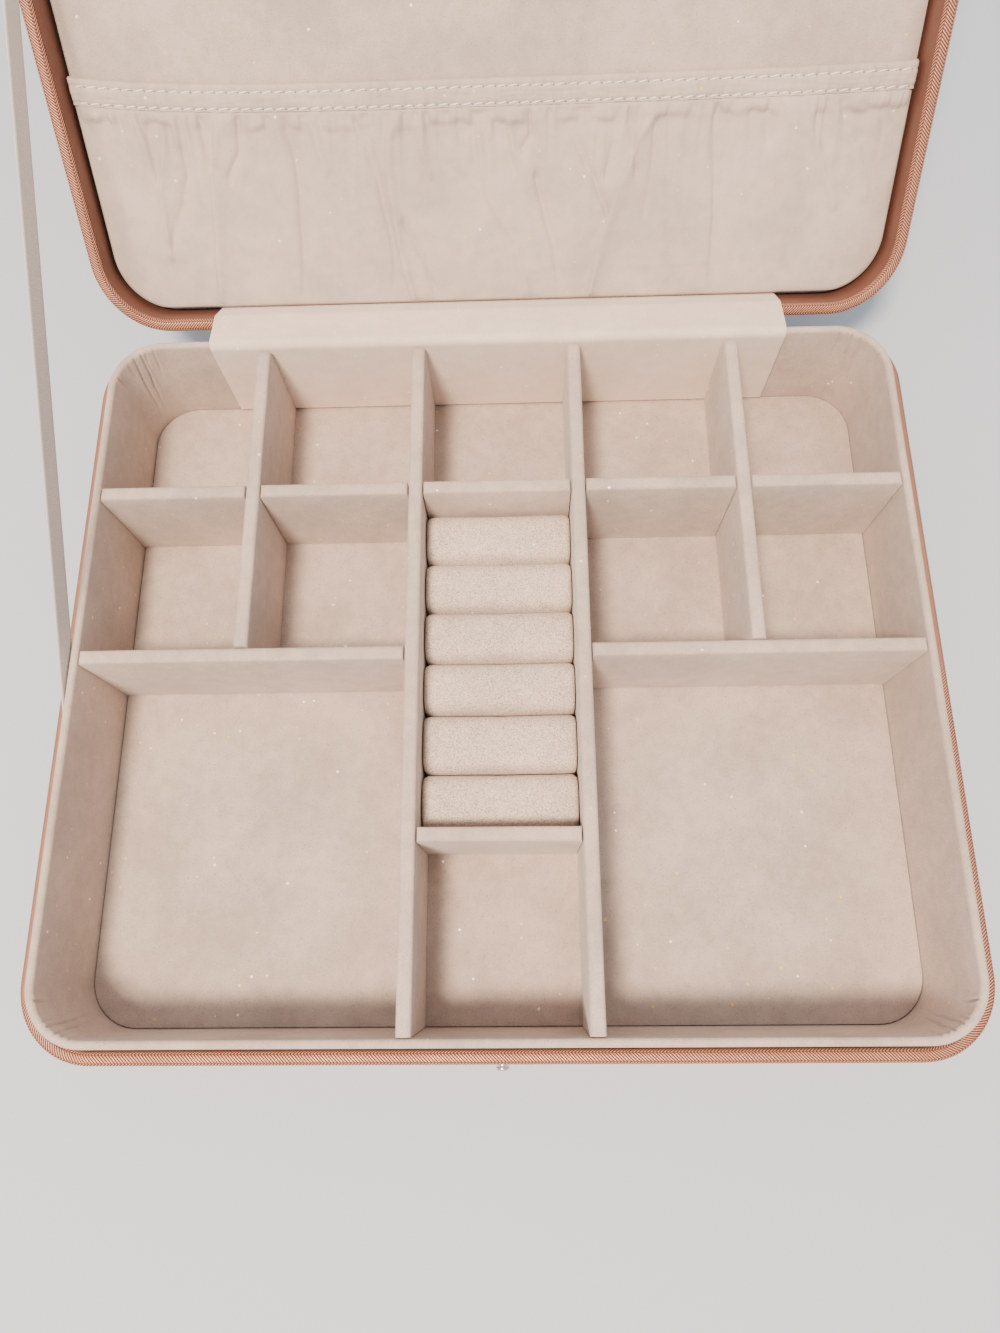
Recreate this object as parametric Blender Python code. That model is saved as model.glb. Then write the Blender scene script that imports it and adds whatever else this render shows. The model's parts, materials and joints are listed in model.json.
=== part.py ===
# Open jewelry organizer box: a low case with a divided velvet tray and ring rolls, and a hinged lid.
# Metres, +Z up, +Y towards the hinge. The origin is at the centre of the underside.
# The lid stands open against its stay ribbon, and its parts are modelled closed, in the hinge's frame.

import math

import bmesh
import bpy
from mathutils import Matrix, Vector

# Case, shared by the base and the lid
CASE_WIDTH = 0.2432
CASE_DEPTH = 0.2094
CASE_CORNER_RADIUS = 0.020
BASE_RIM_HEIGHT = 0.032
LID_HEIGHT = 0.0163
RIM_RADIUS = 0.0013
BOTTOM_EDGE_RADIUS = 0.0012
LID_EDGE_RADIUS = 0.0026
COVER = 0.00065
BOARD = 0.0015
SEAT = 0.0003
HEM = 0.0055
BASE_TURN_IN = 0.0075
LID_TURN_IN = 0.0013
BOTTOM_SHEET = 0.0006
BOTTOM_SHEET_MARGIN = 0.0024
SHEET_EDGE_RADIUS = 0.0002

# Tray inside the base
SLOT = 0.0009
LINER = 0.0022
LIP_RISE = 0.006
FLOOR_PAD = 0.00135
FLOOR_PAD_EDGE_RADIUS = 0.0005
DIVIDER = 0.0040
DIVIDER_TOP_RADIUS = 0.0015
CENTRE_CELL_WIDTH = 0.0428
INNER_CELL_WIDTH = 0.0431
BACK_ROW_DEPTH = 0.0472
MIDDLE_ROW_DEPTH = 0.0457
RING_WELL_DEPTH = 0.0948

# Ring rolls, from the back of the well to its front
ROLL_HEIGHT = 0.022
ROLL_GAP = 0.0003
ROLL_CROWN = 0.0062
ROLL_END_DRAW = 0.0012
ROLL_END_REACH = 0.0030
ROLL_WIDTH_SHARES = (1.00, 0.97, 0.98, 0.97, 1.07, 1.01)
# How far a roll's end is drawn in, and how far along its drawn-in end, as shares
ROLL_END_SHARES = ((1, 0), (0.35, 0.33), (0, 1))

# Hinge
OPEN_ANGLE = 127
RIM_GAP = 0.0004
STRAP = 0.0008
STRAP_FOLD_RADIUS = 0.0004
HINGE_WIDTH = 0.1742
STRAP_BASE_LENGTH = 0.0200
STRAP_LID_LENGTH = 0.0110
FLAP = 0.0007
FLAP_LID_TUCK = 0.0095

# Stay ribbon, on the left
RIBBON_WIDTH = 0.0075
RIBBON = 0.0003
RIBBON_BASE_REACH = 0.1220
RIBBON_LID_REACH = 0.1080
RIBBON_TUCK = 0.0180

# Lid lining and pocket
PAD_RECESS = 0.0095
PAD_MARGIN = 0.0044
PAD_EDGE_RADIUS = 0.0014
PAD_CROWN = 0.0006
PAD_CROWN_REACH = 0.045
PAD_CROWN_STEP_SHARES = (0.12, 0.25, 0.4, 0.6, 0.8, 1.0)
FLAP_ROOM = 0.0008
POCKET_HEIGHT = 0.0516
POCKET_CLOTH = 0.0005
POCKET_EDGE = 0.0005
POCKET_PUFF = 0.0009
FOLD_HEIGHT = 0.0008
FOLD_WIDTH = 0.0055
BAND_HEIGHT = 0.0068
BAND_CLOTH = 0.0004
BAND_RUCHE = 0.00025
BAND_RUCHE_PITCH = 0.0150
BAND_LEFT_RISE = 0.0034
BAND_RIGHT_RISE = 0.0009
ELASTIC = 0.0005
ELASTIC_PLAY = 0.00025
# Distances in from the pocket's edge at which its cloth follows the pad's rounded edge
POCKET_EDGE_STEPS = (0, 0.0003, 0.0008, 0.0018)
POCKET_COLUMNS = 36
POCKET_RISE_SHARES = (0.06, 0.14, 0.26, 0.40, 0.55, 0.70, 0.84, 0.94, 1)
# Each main fold: its place at the pocket's foot and at its mouth, and its height, as shares
FOLD_SHARES = (
    (-0.74, -0.70, 0.9),
    (-0.47, -0.46, 0.7),
    (-0.19, -0.24, 1.0),
    (0.14, 0.06, 1.0),
    (0.20, 0.36, 0.9),
    (0.25, 0.16, 0.7),
    (0.51, 0.50, 0.9),
)

# Closure tab and its press stud
TAB_WIDTH = 0.022
TAB = 0.0016
TAB_DROP = 0.0225
TAB_FLEX_RISE = 0.0016
TAB_ROOT_LENGTH = 0.0100
TAB_TIP_RADIUS = 0.0080
TAB_BEND_DROP = 0.0080
STUD_DROP = 0.012
STUD_FLANGE_RADIUS = 0.0038
STUD_FLANGE = 0.0004
STUD_HEAD_RADIUS = 0.0017
STUD_NECK_RADIUS = 0.0012
STUD_HEAD_LENGTH = 0.0010
STUD_HEAD_EDGE = 0.0005
STUD_REACH = 0.0026
STUD_HOLE_PLAY = 0.0003
WASHER = 0.0004
WASHER_RADIUS = 0.0034
CLENCH = 0.0003
SOCKET_RADIUS = 0.0043
SOCKET_BACK = 0.0004
SOCKET_PLAY = 0.0004
CAP_RADIUS = 0.0052
CAP_RISE = 0.0013
CAP_RIM = 0.0005
POST_RADIUS = 0.0012
POST_FLARE_RADIUS = 0.0016
CUT_OVERRUN = 0.002

# Steps round curves
CORNER_STEPS = 6
RIM_STEPS = 3
TURN_STEPS = 18

WALL = 2 * COVER + 2 * SEAT + BOARD
TRAY_INSET = WALL + SLOT
CELL_INSET = TRAY_INSET + LINER
HEM_Z = BOTTOM_SHEET + SEAT
BASE_BOARD_Z = HEM_Z + COVER + SEAT
TRAY_Z = BASE_BOARD_Z + BOARD + SEAT
FLOOR_Z = TRAY_Z + FLOOR_PAD
TRAY_TOP = BASE_RIM_HEIGHT + LIP_RISE
HINGE_BACKSET = STRAP_FOLD_RADIUS + STRAP + SEAT
HINGE_Y = CASE_DEPTH / 2 + HINGE_BACKSET
HINGE_Z = BASE_RIM_HEIGHT + RIM_GAP
FLAP_FACE_Y = CASE_DEPTH / 2 - CELL_INSET - SEAT - FLAP
LONG_DIVIDER_X = (CENTRE_CELL_WIDTH + DIVIDER) / 2
SHORT_DIVIDER_X = LONG_DIVIDER_X + INNER_CELL_WIDTH + DIVIDER
BACK_CROSS_Y = CASE_DEPTH / 2 - CELL_INSET - BACK_ROW_DEPTH - DIVIDER / 2
MIDDLE_CROSS_Y = BACK_CROSS_Y - MIDDLE_ROW_DEPTH - DIVIDER
WELL_FRONT_Y = BACK_CROSS_Y - RING_WELL_DEPTH - DIVIDER
PAD_FOOT = PAD_MARGIN + FLAP_ROOM
SNAP_FACE = STUD_REACH + CLENCH + SEAT + SEAT + SOCKET_BACK + SEAT

# Each finish: base colour, roughness, metallic
FINISHES = {
    "rose_leatherette": ((0.62, 0.33, 0.24), 0.38, 0.35),
    "smooth_leatherette": ((0.42, 0.21, 0.15), 0.45, 0.25),
    "greyboard": ((0.42, 0.40, 0.36), 0.90, 0.0),
    "velvet": ((0.60, 0.53, 0.47), 0.95, 0.0),
    "pad_velvet": ((0.64, 0.58, 0.53), 0.95, 0.0),
    "woven_tape": ((0.66, 0.62, 0.56), 0.80, 0.0),
    "elastic": ((0.75, 0.73, 0.70), 0.85, 0.0),
    "nickel": ((0.74, 0.73, 0.71), 0.25, 1.0),
    "backing_paper": ((0.20, 0.17, 0.16), 0.85, 0.0),
}


def clear_scene():
    for item in list(bpy.data.objects):
        bpy.data.objects.remove(item, do_unlink=True)


def finish(name):
    made = bpy.data.materials.get(name) or bpy.data.materials.new(name)
    colour, roughness, metallic = FINISHES[name]
    made.use_nodes = True
    shader = made.node_tree.nodes["Principled BSDF"]
    shader.inputs["Base Color"].default_value = (*colour, 1)
    shader.inputs["Roughness"].default_value = roughness
    shader.inputs["Metallic"].default_value = metallic
    return made


# Shapes

def arc(centre, radius, start, end, steps):
    # Points round a centre from one angle to another, in degrees
    points = []
    for k in range(steps + 1):
        turn = math.radians(start + (end - start) * k / steps)
        points.append((centre[0] + radius * math.cos(turn), centre[1] + radius * math.sin(turn)))
    return points


def rounded_outline(half_x, half_y, radius):
    points = []
    for side_x, side_y, start in ((1, 1, 0), (-1, 1, 90), (-1, -1, 180), (1, -1, 270)):
        centre = (side_x * (half_x - radius), side_y * (half_y - radius))
        points += arc(centre, radius, start, start + 90, CORNER_STEPS)
    return points


def case_loop(inset, z):
    # The case's outline drawn in by the inset, at one height
    radius = max(CASE_CORNER_RADIUS - inset, SEAT)
    outline = rounded_outline(CASE_WIDTH / 2 - inset, CASE_DEPTH / 2 - inset, radius)
    return [(x, y, z) for x, y in outline]


def loft(name, loops, finish_name, ring=False, smooth=True):
    # A skin over loops of equal count, closed on itself as a ring or with a cap at each end
    # The rows are bridged as a plain stack of rings, then moved to their own places
    bm = bmesh.new()
    if ring:
        loops = loops + loops[:1]
    turns = [math.tau * k / len(loops[0]) for k in range(len(loops[0]))]
    rows = []
    for level in range(len(loops)):
        rows.append([bm.verts.new((math.cos(turn), math.sin(turn), level)) for turn in turns])
    edges = [[bm.edges.new((row[k - 1], row[k])) for k in range(len(row))] for row in rows]
    for first, second in zip(edges, edges[1:]):
        bmesh.ops.bridge_loops(bm, edges=first + second)
    for row, loop in zip(rows, loops):
        for vert, point in zip(row, loop):
            vert.co = point
    if ring:
        bmesh.ops.remove_doubles(bm, verts=rows[0] + rows[-1], dist=SEAT / 100)
    else:
        bm.faces.new(rows[0])
        bm.faces.new(rows[-1])
    return add_mesh(name, bm, finish_name, smooth)


def add_mesh(name, bm, finish_name, smooth=True):
    bmesh.ops.recalc_face_normals(bm, faces=bm.faces)
    if bm.calc_volume(signed=True) < 0:
        bmesh.ops.reverse_faces(bm, faces=bm.faces)
    mesh = bpy.data.meshes.new(name)
    bm.to_mesh(mesh)
    bm.free()
    if smooth:
        mesh.shade_smooth()
        mesh.set_sharp_from_angle(angle=math.radians(40))
    made = bpy.data.objects.new(name, mesh)
    bpy.context.scene.collection.objects.link(made)
    mesh.materials.append(finish(finish_name))
    return made


def extruded(name, section, span, finish_name):
    # A section in (across, up) run along +Y between the two ends of the span
    loops = [[(across, y, up) for across, up in section] for y in span]
    return loft(name, loops, finish_name)


def turned(name, profile, finish_name):
    # A closed profile of (radius, height) spun about Z, its points on the axis merged
    bm = bmesh.new()
    verts = [bm.verts.new((radius, 0, height)) for radius, height in profile]
    edges = [bm.edges.new(pair) for pair in zip(verts, verts[1:])]
    if profile[0][0] > 0:
        edges.append(bm.edges.new((verts[-1], verts[0])))
    bmesh.ops.spin(bm, geom=verts + edges, cent=(0, 0, 0), axis=(0, 0, 1),
                   angle=math.tau, steps=TURN_STEPS, use_merge=True)
    bmesh.ops.remove_doubles(bm, verts=bm.verts, dist=SEAT / 100)
    return add_mesh(name, bm, finish_name)


def bent_strip(name, path, thickness, half_width, finish_name):
    # A strip of even thickness that follows a path in the YZ plane, centred on X
    loops = []
    for k, point in enumerate(path):
        before = Vector(path[max(k - 1, 0)])
        after = Vector(path[min(k + 1, len(path) - 1)])
        along = (after - before).normalized()
        across = Vector((-along.y, along.x)) * thickness / 2
        over = Vector(point) + across
        under = Vector(point) - across
        loops.append([
            (-half_width, over.x, over.y),
            (half_width, over.x, over.y),
            (half_width, under.x, under.y),
            (-half_width, under.x, under.y),
        ])
    return loft(name, loops, finish_name)


def cut_hole(target, name, radius, middle, length):
    # A round hole along Y through the target
    bm = bmesh.new()
    place = Matrix.Translation(middle) @ Matrix.Rotation(math.radians(90), 4, "X")
    bmesh.ops.create_cone(bm, cap_ends=True, segments=TURN_STEPS, radius1=radius,
                          radius2=radius, depth=length, matrix=place)
    cutter = add_mesh(name, bm, "nickel")
    cutter.parent = target.parent
    cutter.hide_render = True
    cutter.display_type = "WIRE"
    hole = target.modifiers.new(name, "BOOLEAN")
    hole.operation = "DIFFERENCE"
    hole.solver = "EXACT"
    hole.object = cutter


def carry(parent, *items):
    for item in items:
        item.parent = parent


# Base

def make_base_wrap():
    r = RIM_RADIUS
    b = BOTTOM_EDGE_RADIUS
    top = BASE_RIM_HEIGHT
    section = [(HEM, HEM_Z)]
    section += arc((b, HEM_Z + b), b, 270, 180, RIM_STEPS)
    section += arc((r, top - r), r, 180, 90, RIM_STEPS)
    section += arc((WALL - r, top - r), r, 90, 0, RIM_STEPS)
    section += [
        (WALL, top - BASE_TURN_IN),
        (WALL - COVER, top - BASE_TURN_IN),
        (WALL - COVER, top - COVER),
        (COVER, top - COVER),
        (COVER, HEM_Z + COVER),
        (HEM, HEM_Z + COVER),
    ]
    loops = [case_loop(inset, z) for inset, z in section]
    return loft("base_wrap", loops, "rose_leatherette", ring=True)


def make_base_board():
    outer = COVER + SEAT
    top = BASE_RIM_HEIGHT - COVER - SEAT
    section = [
        (outer, BASE_BOARD_Z),
        (outer, top),
        (outer + BOARD, top),
        (outer + BOARD, BASE_BOARD_Z + BOARD),
    ]
    return loft("base_board", [case_loop(i, z) for i, z in section], "greyboard")


def make_bottom_sheet():
    edge = SHEET_EDGE_RADIUS
    section = [
        (BOTTOM_SHEET_MARGIN + edge, 0),
        (BOTTOM_SHEET_MARGIN, edge),
        (BOTTOM_SHEET_MARGIN, BOTTOM_SHEET),
    ]
    return loft("bottom_cover", [case_loop(i, z) for i, z in section], "backing_paper")


def make_base_liner():
    half = LINER / 2
    section = [(TRAY_INSET, TRAY_Z)]
    section += arc((TRAY_INSET + half, TRAY_TOP - half), half, 180, 0, 2 * RIM_STEPS)
    section += [(CELL_INSET, TRAY_Z)]
    return loft("base_liner", [case_loop(i, z) for i, z in section], "velvet", ring=True)


def make_floor_pad():
    inset = CELL_INSET + SEAT
    edge = FLOOR_PAD_EDGE_RADIUS
    section = [(inset, TRAY_Z)]
    section += arc((inset + edge, FLOOR_Z - edge), edge, 180, 90, RIM_STEPS)
    return loft("floor_pad", [case_loop(i, z) for i, z in section], "velvet")


def divider_section():
    r = DIVIDER_TOP_RADIUS
    half = DIVIDER / 2
    section = [(half, FLOOR_Z + SEAT)]
    section += arc((half - r, TRAY_TOP - r), r, 0, 90, RIM_STEPS)
    section += arc((r - half, TRAY_TOP - r), r, 90, 180, RIM_STEPS)
    section += [(-half, FLOOR_Z + SEAT)]
    return section


def make_divider_along(name, x, y_front, y_back):
    made = extruded(name, divider_section(), (y_front, y_back), "velvet")
    made.location.x = x


def make_divider_across(name, y, x_left, x_right):
    # The same section, turned a quarter so that it runs along +X
    made = extruded(name, divider_section(), (-x_right, -x_left), "velvet")
    made.rotation_euler.z = math.radians(90)
    made.location.y = y


def make_dividers():
    front_end = SEAT + CELL_INSET - CASE_DEPTH / 2
    back_end = FLAP_FACE_Y - SEAT
    wall_end = CASE_WIDTH / 2 - CELL_INSET - SEAT
    half = DIVIDER / 2 + SEAT
    for side, sign in (("left", -1), ("right", 1)):
        x = sign * LONG_DIVIDER_X
        make_divider_along("divider_long_" + side, x, front_end, back_end)
        x = sign * SHORT_DIVIDER_X
        make_divider_along("divider_short_" + side, x, MIDDLE_CROSS_Y + half, back_end)
    # The back row's cross pieces stop short of the dividers that they meet
    stops = [-wall_end, -SHORT_DIVIDER_X, -LONG_DIVIDER_X, LONG_DIVIDER_X, SHORT_DIVIDER_X, wall_end]
    for k in range(len(stops) - 1):
        left = stops[k] + (half if k > 0 else 0)
        right = stops[k + 1] - (half if k < len(stops) - 2 else 0)
        make_divider_across(f"cross_back_{k + 1}", BACK_CROSS_Y, left, right)
    make_divider_across("cross_middle_left", MIDDLE_CROSS_Y, -wall_end, -LONG_DIVIDER_X - half)
    make_divider_across("cross_middle_right", MIDDLE_CROSS_Y, LONG_DIVIDER_X + half, wall_end)
    well = LONG_DIVIDER_X - half
    make_divider_across("ring_well_front", WELL_FRONT_Y, -well, well)


def roll_section(width, height):
    # Flat foot, straight sides that bulge into a full round top
    half = width / 2
    crown = min(ROLL_CROWN, half)
    section = [(half, 0)]
    for k in range(9):
        turn = math.radians(180 * k / 8)
        section.append((half * math.cos(turn), height - crown + crown * math.sin(turn)))
    section += [(-half, 0)]
    return section


def make_ring_rolls():
    back = BACK_CROSS_Y - DIVIDER / 2 - SEAT
    run = RING_WELL_DEPTH - 2 * SEAT
    end = LONG_DIVIDER_X - DIVIDER / 2 - SEAT
    for k, share in enumerate(ROLL_WIDTH_SHARES):
        width = run * share / sum(ROLL_WIDTH_SHARES)
        middle = back - width / 2
        back -= width
        stations = [(draw, along * ROLL_END_REACH - end) for draw, along in ROLL_END_SHARES]
        stations += [(draw, -x) for draw, x in stations[::-1]]
        loops = []
        for draw, x in stations:
            drawn = draw * ROLL_END_DRAW
            section = roll_section(width - ROLL_GAP - 2 * drawn, ROLL_HEIGHT - drawn)
            loops.append([(x, across, up) for across, up in section])
        roll = loft(f"ring_roll_{k + 1}", loops, "velvet")
        roll.location = (0, middle, FLOOR_Z + SEAT)


def make_stud():
    # Heights run out from the case's front face, and the shank passes in through the wall
    inner = -(COVER + SEAT + BOARD + SEAT + WASHER + SEAT)
    head_foot = STUD_REACH - STUD_HEAD_LENGTH
    profile = [
        (0, STUD_REACH),
        (STUD_HEAD_RADIUS - STUD_HEAD_EDGE, STUD_REACH),
        (STUD_HEAD_RADIUS, STUD_REACH - STUD_HEAD_EDGE),
        (STUD_HEAD_RADIUS, head_foot + STUD_HEAD_EDGE / 2),
        (STUD_NECK_RADIUS, head_foot),
        (STUD_NECK_RADIUS, SEAT + STUD_FLANGE),
        (STUD_FLANGE_RADIUS, SEAT + STUD_FLANGE / 2),
        (STUD_FLANGE_RADIUS, SEAT),
        (STUD_NECK_RADIUS, SEAT),
        (STUD_NECK_RADIUS, inner),
        (STUD_HEAD_RADIUS + STUD_HOLE_PLAY, inner),
        (STUD_HEAD_RADIUS, inner - CLENCH),
        (0, inner - CLENCH),
    ]
    stud = turned("snap_stud", profile, "nickel")
    bore = STUD_NECK_RADIUS + STUD_HOLE_PLAY
    washer_top = -(COVER + SEAT + BOARD + SEAT)
    washer = turned("stud_washer", [
        (bore, washer_top),
        (WASHER_RADIUS, washer_top),
        (WASHER_RADIUS, washer_top - WASHER),
        (bore, washer_top - WASHER),
    ], "nickel")
    for item in (stud, washer):
        item.location = (0, -CASE_DEPTH / 2, BASE_RIM_HEIGHT - STUD_DROP)
        item.rotation_euler.x = math.radians(90)


# Hinge and stay

def lid_to_world(y, z):
    # A point of the closed lid's YZ plane, in the hinge's frame, where the open lid has it
    turn = math.radians(OPEN_ANGLE)
    return (
        HINGE_Y + y * math.cos(turn) + z * math.sin(turn),
        HINGE_Z - y * math.sin(turn) + z * math.cos(turn),
    )


def make_hinge_strap():
    face = CASE_DEPTH / 2 + SEAT + STRAP / 2
    path = [(face, HINGE_Z - STRAP_BASE_LENGTH), (face, HINGE_Z - STRAP)]
    fold = STRAP_FOLD_RADIUS + STRAP / 2
    path += arc((HINGE_Y, HINGE_Z), fold, 180, 180 - OPEN_ANGLE, 6)
    path += [lid_to_world(-fold, STRAP), lid_to_world(-fold, STRAP_LID_LENGTH)]
    return bent_strip("hinge_strap", path, STRAP, HINGE_WIDTH / 2, "rose_leatherette")


def flap_path():
    # Up the tray's back wall from its floor, over its lip, across to the lid's rim and into the lid
    half = FLAP / 2
    face = CASE_DEPTH / 2 - CELL_INSET - SEAT - half
    lip = (CASE_DEPTH / 2 - TRAY_INSET - LINER / 2, TRAY_TOP - LINER / 2)
    lip_reach = LINER / 2 + SEAT + half
    rim = lid_to_world(RIM_RADIUS - WALL - HINGE_BACKSET, RIM_RADIUS)
    rim_reach = RIM_RADIUS + SEAT + half
    span = Vector(rim) - Vector(lip)
    leave = math.atan2(span.y, span.x) + math.acos((lip_reach - rim_reach) / span.length)
    leave = math.degrees(leave)
    path = [(face, FLOOR_Z + SEAT), (face, TRAY_TOP - LINER)]
    path += arc(lip, lip_reach, 180, leave, 6)
    path += arc(rim, rim_reach, leave, 180 - OPEN_ANGLE, 3)
    wall = -HINGE_BACKSET - WALL - SEAT - half
    path += [lid_to_world(wall, RIM_RADIUS + FLAP_LID_TUCK)]
    return path


def make_hinge_flap():
    return bent_strip("hinge_flap", flap_path(), FLAP, HINGE_WIDTH / 2, "velvet")


def make_stay_ribbon():
    # Straight from the slot beside the tray to the slot beside the lid's pad
    low = Vector((HINGE_Y - RIBBON_BASE_REACH, BASE_RIM_HEIGHT))
    high = Vector(lid_to_world(-RIBBON_LID_REACH, 0))
    along = (high - low).normalized()
    across = Vector((-along.y, along.x)) * RIBBON_WIDTH / 2
    low -= along * RIBBON_TUCK
    high += along * RIBBON_TUCK
    outer = -CASE_WIDTH / 2 + WALL + SEAT
    loops = []
    for x in (outer, outer + RIBBON):
        corners = (low - across, high - across, high + across, low + across)
        loops.append([(x, corner.x, corner.y) for corner in corners])
    return loft("stay_ribbon", loops, "woven_tape", smooth=False)


# Lid, closed and in the hinge's frame: z is 0 at its rim and grows into it

def make_lid_wrap():
    r = RIM_RADIUS
    edge = LID_EDGE_RADIUS
    top = LID_HEIGHT
    section = arc((edge, top - edge), edge - COVER, 90, 180, RIM_STEPS + 1)
    section += [
        (COVER, COVER),
        (WALL - COVER, COVER),
        (WALL - COVER, LID_TURN_IN),
        (WALL, LID_TURN_IN),
    ]
    section += arc((WALL - r, r), r, 0, -90, RIM_STEPS)[1:]
    section += arc((r, r), r, 270, 180, RIM_STEPS)
    section += arc((edge, top - edge), edge, 180, 90, RIM_STEPS + 1)
    return loft("lid_wrap", [case_loop(i, z) for i, z in section], "rose_leatherette")


def make_lid_board():
    outer = COVER + SEAT
    edge = LID_EDGE_RADIUS
    section = [
        (outer + BOARD, LID_HEIGHT - outer - BOARD),
        (outer + BOARD, outer),
        (outer, outer),
    ]
    section += arc((edge, LID_HEIGHT - edge), edge - outer, 180, 90, RIM_STEPS)
    return loft("lid_board", [case_loop(i, z) for i, z in section], "greyboard")


def make_lid_band():
    low = LID_TURN_IN + SEAT
    high = LID_HEIGHT - COVER - SEAT - BOARD - SEAT
    section = [
        (WALL, low),
        (WALL, high),
        (WALL - COVER, high),
        (WALL - COVER, low),
    ]
    loops = [case_loop(i, z) for i, z in section]
    return loft("lid_wall_band", loops, "smooth_leatherette", ring=True)


def pad_half_sizes():
    half_x = CASE_WIDTH / 2 - PAD_MARGIN
    half_y = (CASE_DEPTH - PAD_MARGIN - PAD_FOOT) / 2
    return half_x, half_y


def pad_loop(inset, z):
    half_x, half_y = pad_half_sizes()
    radius = max(CASE_CORNER_RADIUS - PAD_MARGIN - inset, SEAT)
    outline = rounded_outline(half_x - inset, half_y - inset, radius)
    return [(x, y, z) for x, y in outline]


def pad_centre_y():
    return -HINGE_BACKSET - PAD_FOOT - pad_half_sizes()[1]


def pad_height(inset):
    # Height of the pad's face above the lid's rim, by distance in from the pad's edge
    share = min(max(inset, 0) / PAD_CROWN_REACH, 1)
    crown = PAD_CROWN * share * (2 - share)
    short = max(PAD_EDGE_RADIUS - inset, 0)
    drop = PAD_EDGE_RADIUS - math.sqrt(max(PAD_EDGE_RADIUS ** 2 - short ** 2, 0))
    return PAD_RECESS + drop - crown


def pad_board_top():
    return LID_HEIGHT - COVER - SEAT - BOARD - SEAT


def make_pad_board():
    top = pad_board_top()
    section = [(SEAT, top), (SEAT, top - BOARD)]
    made = loft("lid_pad_board", [pad_loop(i, z) for i, z in section], "greyboard")
    made.location.y = pad_centre_y()
    return made


def make_lid_pad():
    back = pad_board_top() - BOARD - SEAT
    section = [(0, back)]
    for k in range(RIM_STEPS + 1):
        inset = PAD_EDGE_RADIUS * (1 - math.cos(math.radians(90 * k / RIM_STEPS)))
        section.append((inset, pad_height(inset)))
    for share in PAD_CROWN_STEP_SHARES:
        inset = PAD_CROWN_REACH * share
        section.append((inset, pad_height(inset)))
    made = loft("lid_pad", [pad_loop(i, z) for i, z in section], "pad_velvet")
    made.location.y = pad_centre_y()
    return made


def pad_edge_distance(x, y):
    # How far a point on the pad, measured from its centre, lies in from its edge
    half_x, half_y = pad_half_sizes()
    radius = CASE_CORNER_RADIUS - PAD_MARGIN
    over = Vector((max(abs(x) - half_x + radius, 0), max(abs(y) - half_y + radius, 0)))
    inner = min(max(abs(x) - half_x, abs(y) - half_y) + radius, 0)
    return radius - over.length - inner


def pad_half_width_at(y):
    # Half the pad's width at one distance from its centre, narrower in the corners
    half_x, half_y = pad_half_sizes()
    radius = CASE_CORNER_RADIUS - PAD_MARGIN
    into = max(abs(y) - half_y + radius, 0)
    return half_x - radius + math.sqrt(max(radius ** 2 - into ** 2, 0))


def mouth_rise(x):
    # How much higher the pocket's mouth stands towards its ends
    rise = BAND_LEFT_RISE if x < 0 else BAND_RIGHT_RISE
    return rise * (x / pad_half_sizes()[0]) ** 4


def pocket_lift(x, up):
    # How far the pocket's back stands off the pad: up is 0 at its foot and 1 at its mouth
    half_x = pad_half_sizes()[0]
    lift = POCKET_PUFF * math.sin(math.pi * min(up, 1)) * (1 - (x / half_x) ** 4)
    for foot, mouth, height in FOLD_SHARES:
        middle = half_x * (foot + (mouth - foot) * up)
        ease = math.sin(math.pi * min(0.12 + 0.76 * up, 1))
        lift += FOLD_HEIGHT * height * ease * math.exp(-(((x - middle) / FOLD_WIDTH) ** 2))
    return SEAT + lift


def pocket_columns(half):
    # Places across one row of the pocket, closer together at its edges
    edge = [half - step for step in POCKET_EDGE_STEPS]
    inner = edge.pop()
    middle = [inner * (2 * k / POCKET_COLUMNS - 1) for k in range(POCKET_COLUMNS + 1)]
    return [-x for x in edge] + middle + edge[::-1]


def pocket_rows():
    steps = [POCKET_EDGE + step for step in POCKET_EDGE_STEPS]
    run = POCKET_HEIGHT - steps[-1]
    return steps + [steps[-1] + run * share for share in POCKET_RISE_SHARES]


def make_pocket_cloth():
    half_y = pad_half_sizes()[1]
    bm = bmesh.new()
    back, front = [], []
    for rise in pocket_rows():
        up = rise / POCKET_HEIGHT
        row_back, row_front = [], []
        for x in pocket_columns(pad_half_width_at(half_y - rise) - POCKET_EDGE):
            y = half_y - rise - mouth_rise(x) * up ** 2
            z = pad_height(pad_edge_distance(x, y)) - pocket_lift(x, up)
            row_back.append(bm.verts.new((x, y, z)))
            row_front.append(bm.verts.new((x, y, z - POCKET_CLOTH)))
        back.append(row_back)
        front.append(row_front)
    skin(bm, back, front)
    made = add_mesh("pocket_cloth", bm, "velvet")
    made.location.y = pad_centre_y()
    return made


def skin(bm, back, front):
    # Faces over two matching grids of points and round their four edges
    rows, columns = len(back), len(back[0])
    for grid in (back, front):
        for j in range(rows - 1):
            for k in range(columns - 1):
                bm.faces.new((grid[j][k], grid[j][k + 1], grid[j + 1][k + 1], grid[j + 1][k]))
    for j in (0, rows - 1):
        for k in range(columns - 1):
            bm.faces.new((back[j][k], back[j][k + 1], front[j][k + 1], front[j][k]))
    for k in (0, columns - 1):
        for j in range(rows - 1):
            bm.faces.new((back[j][k], back[j + 1][k], front[j + 1][k], front[j][k]))


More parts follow.
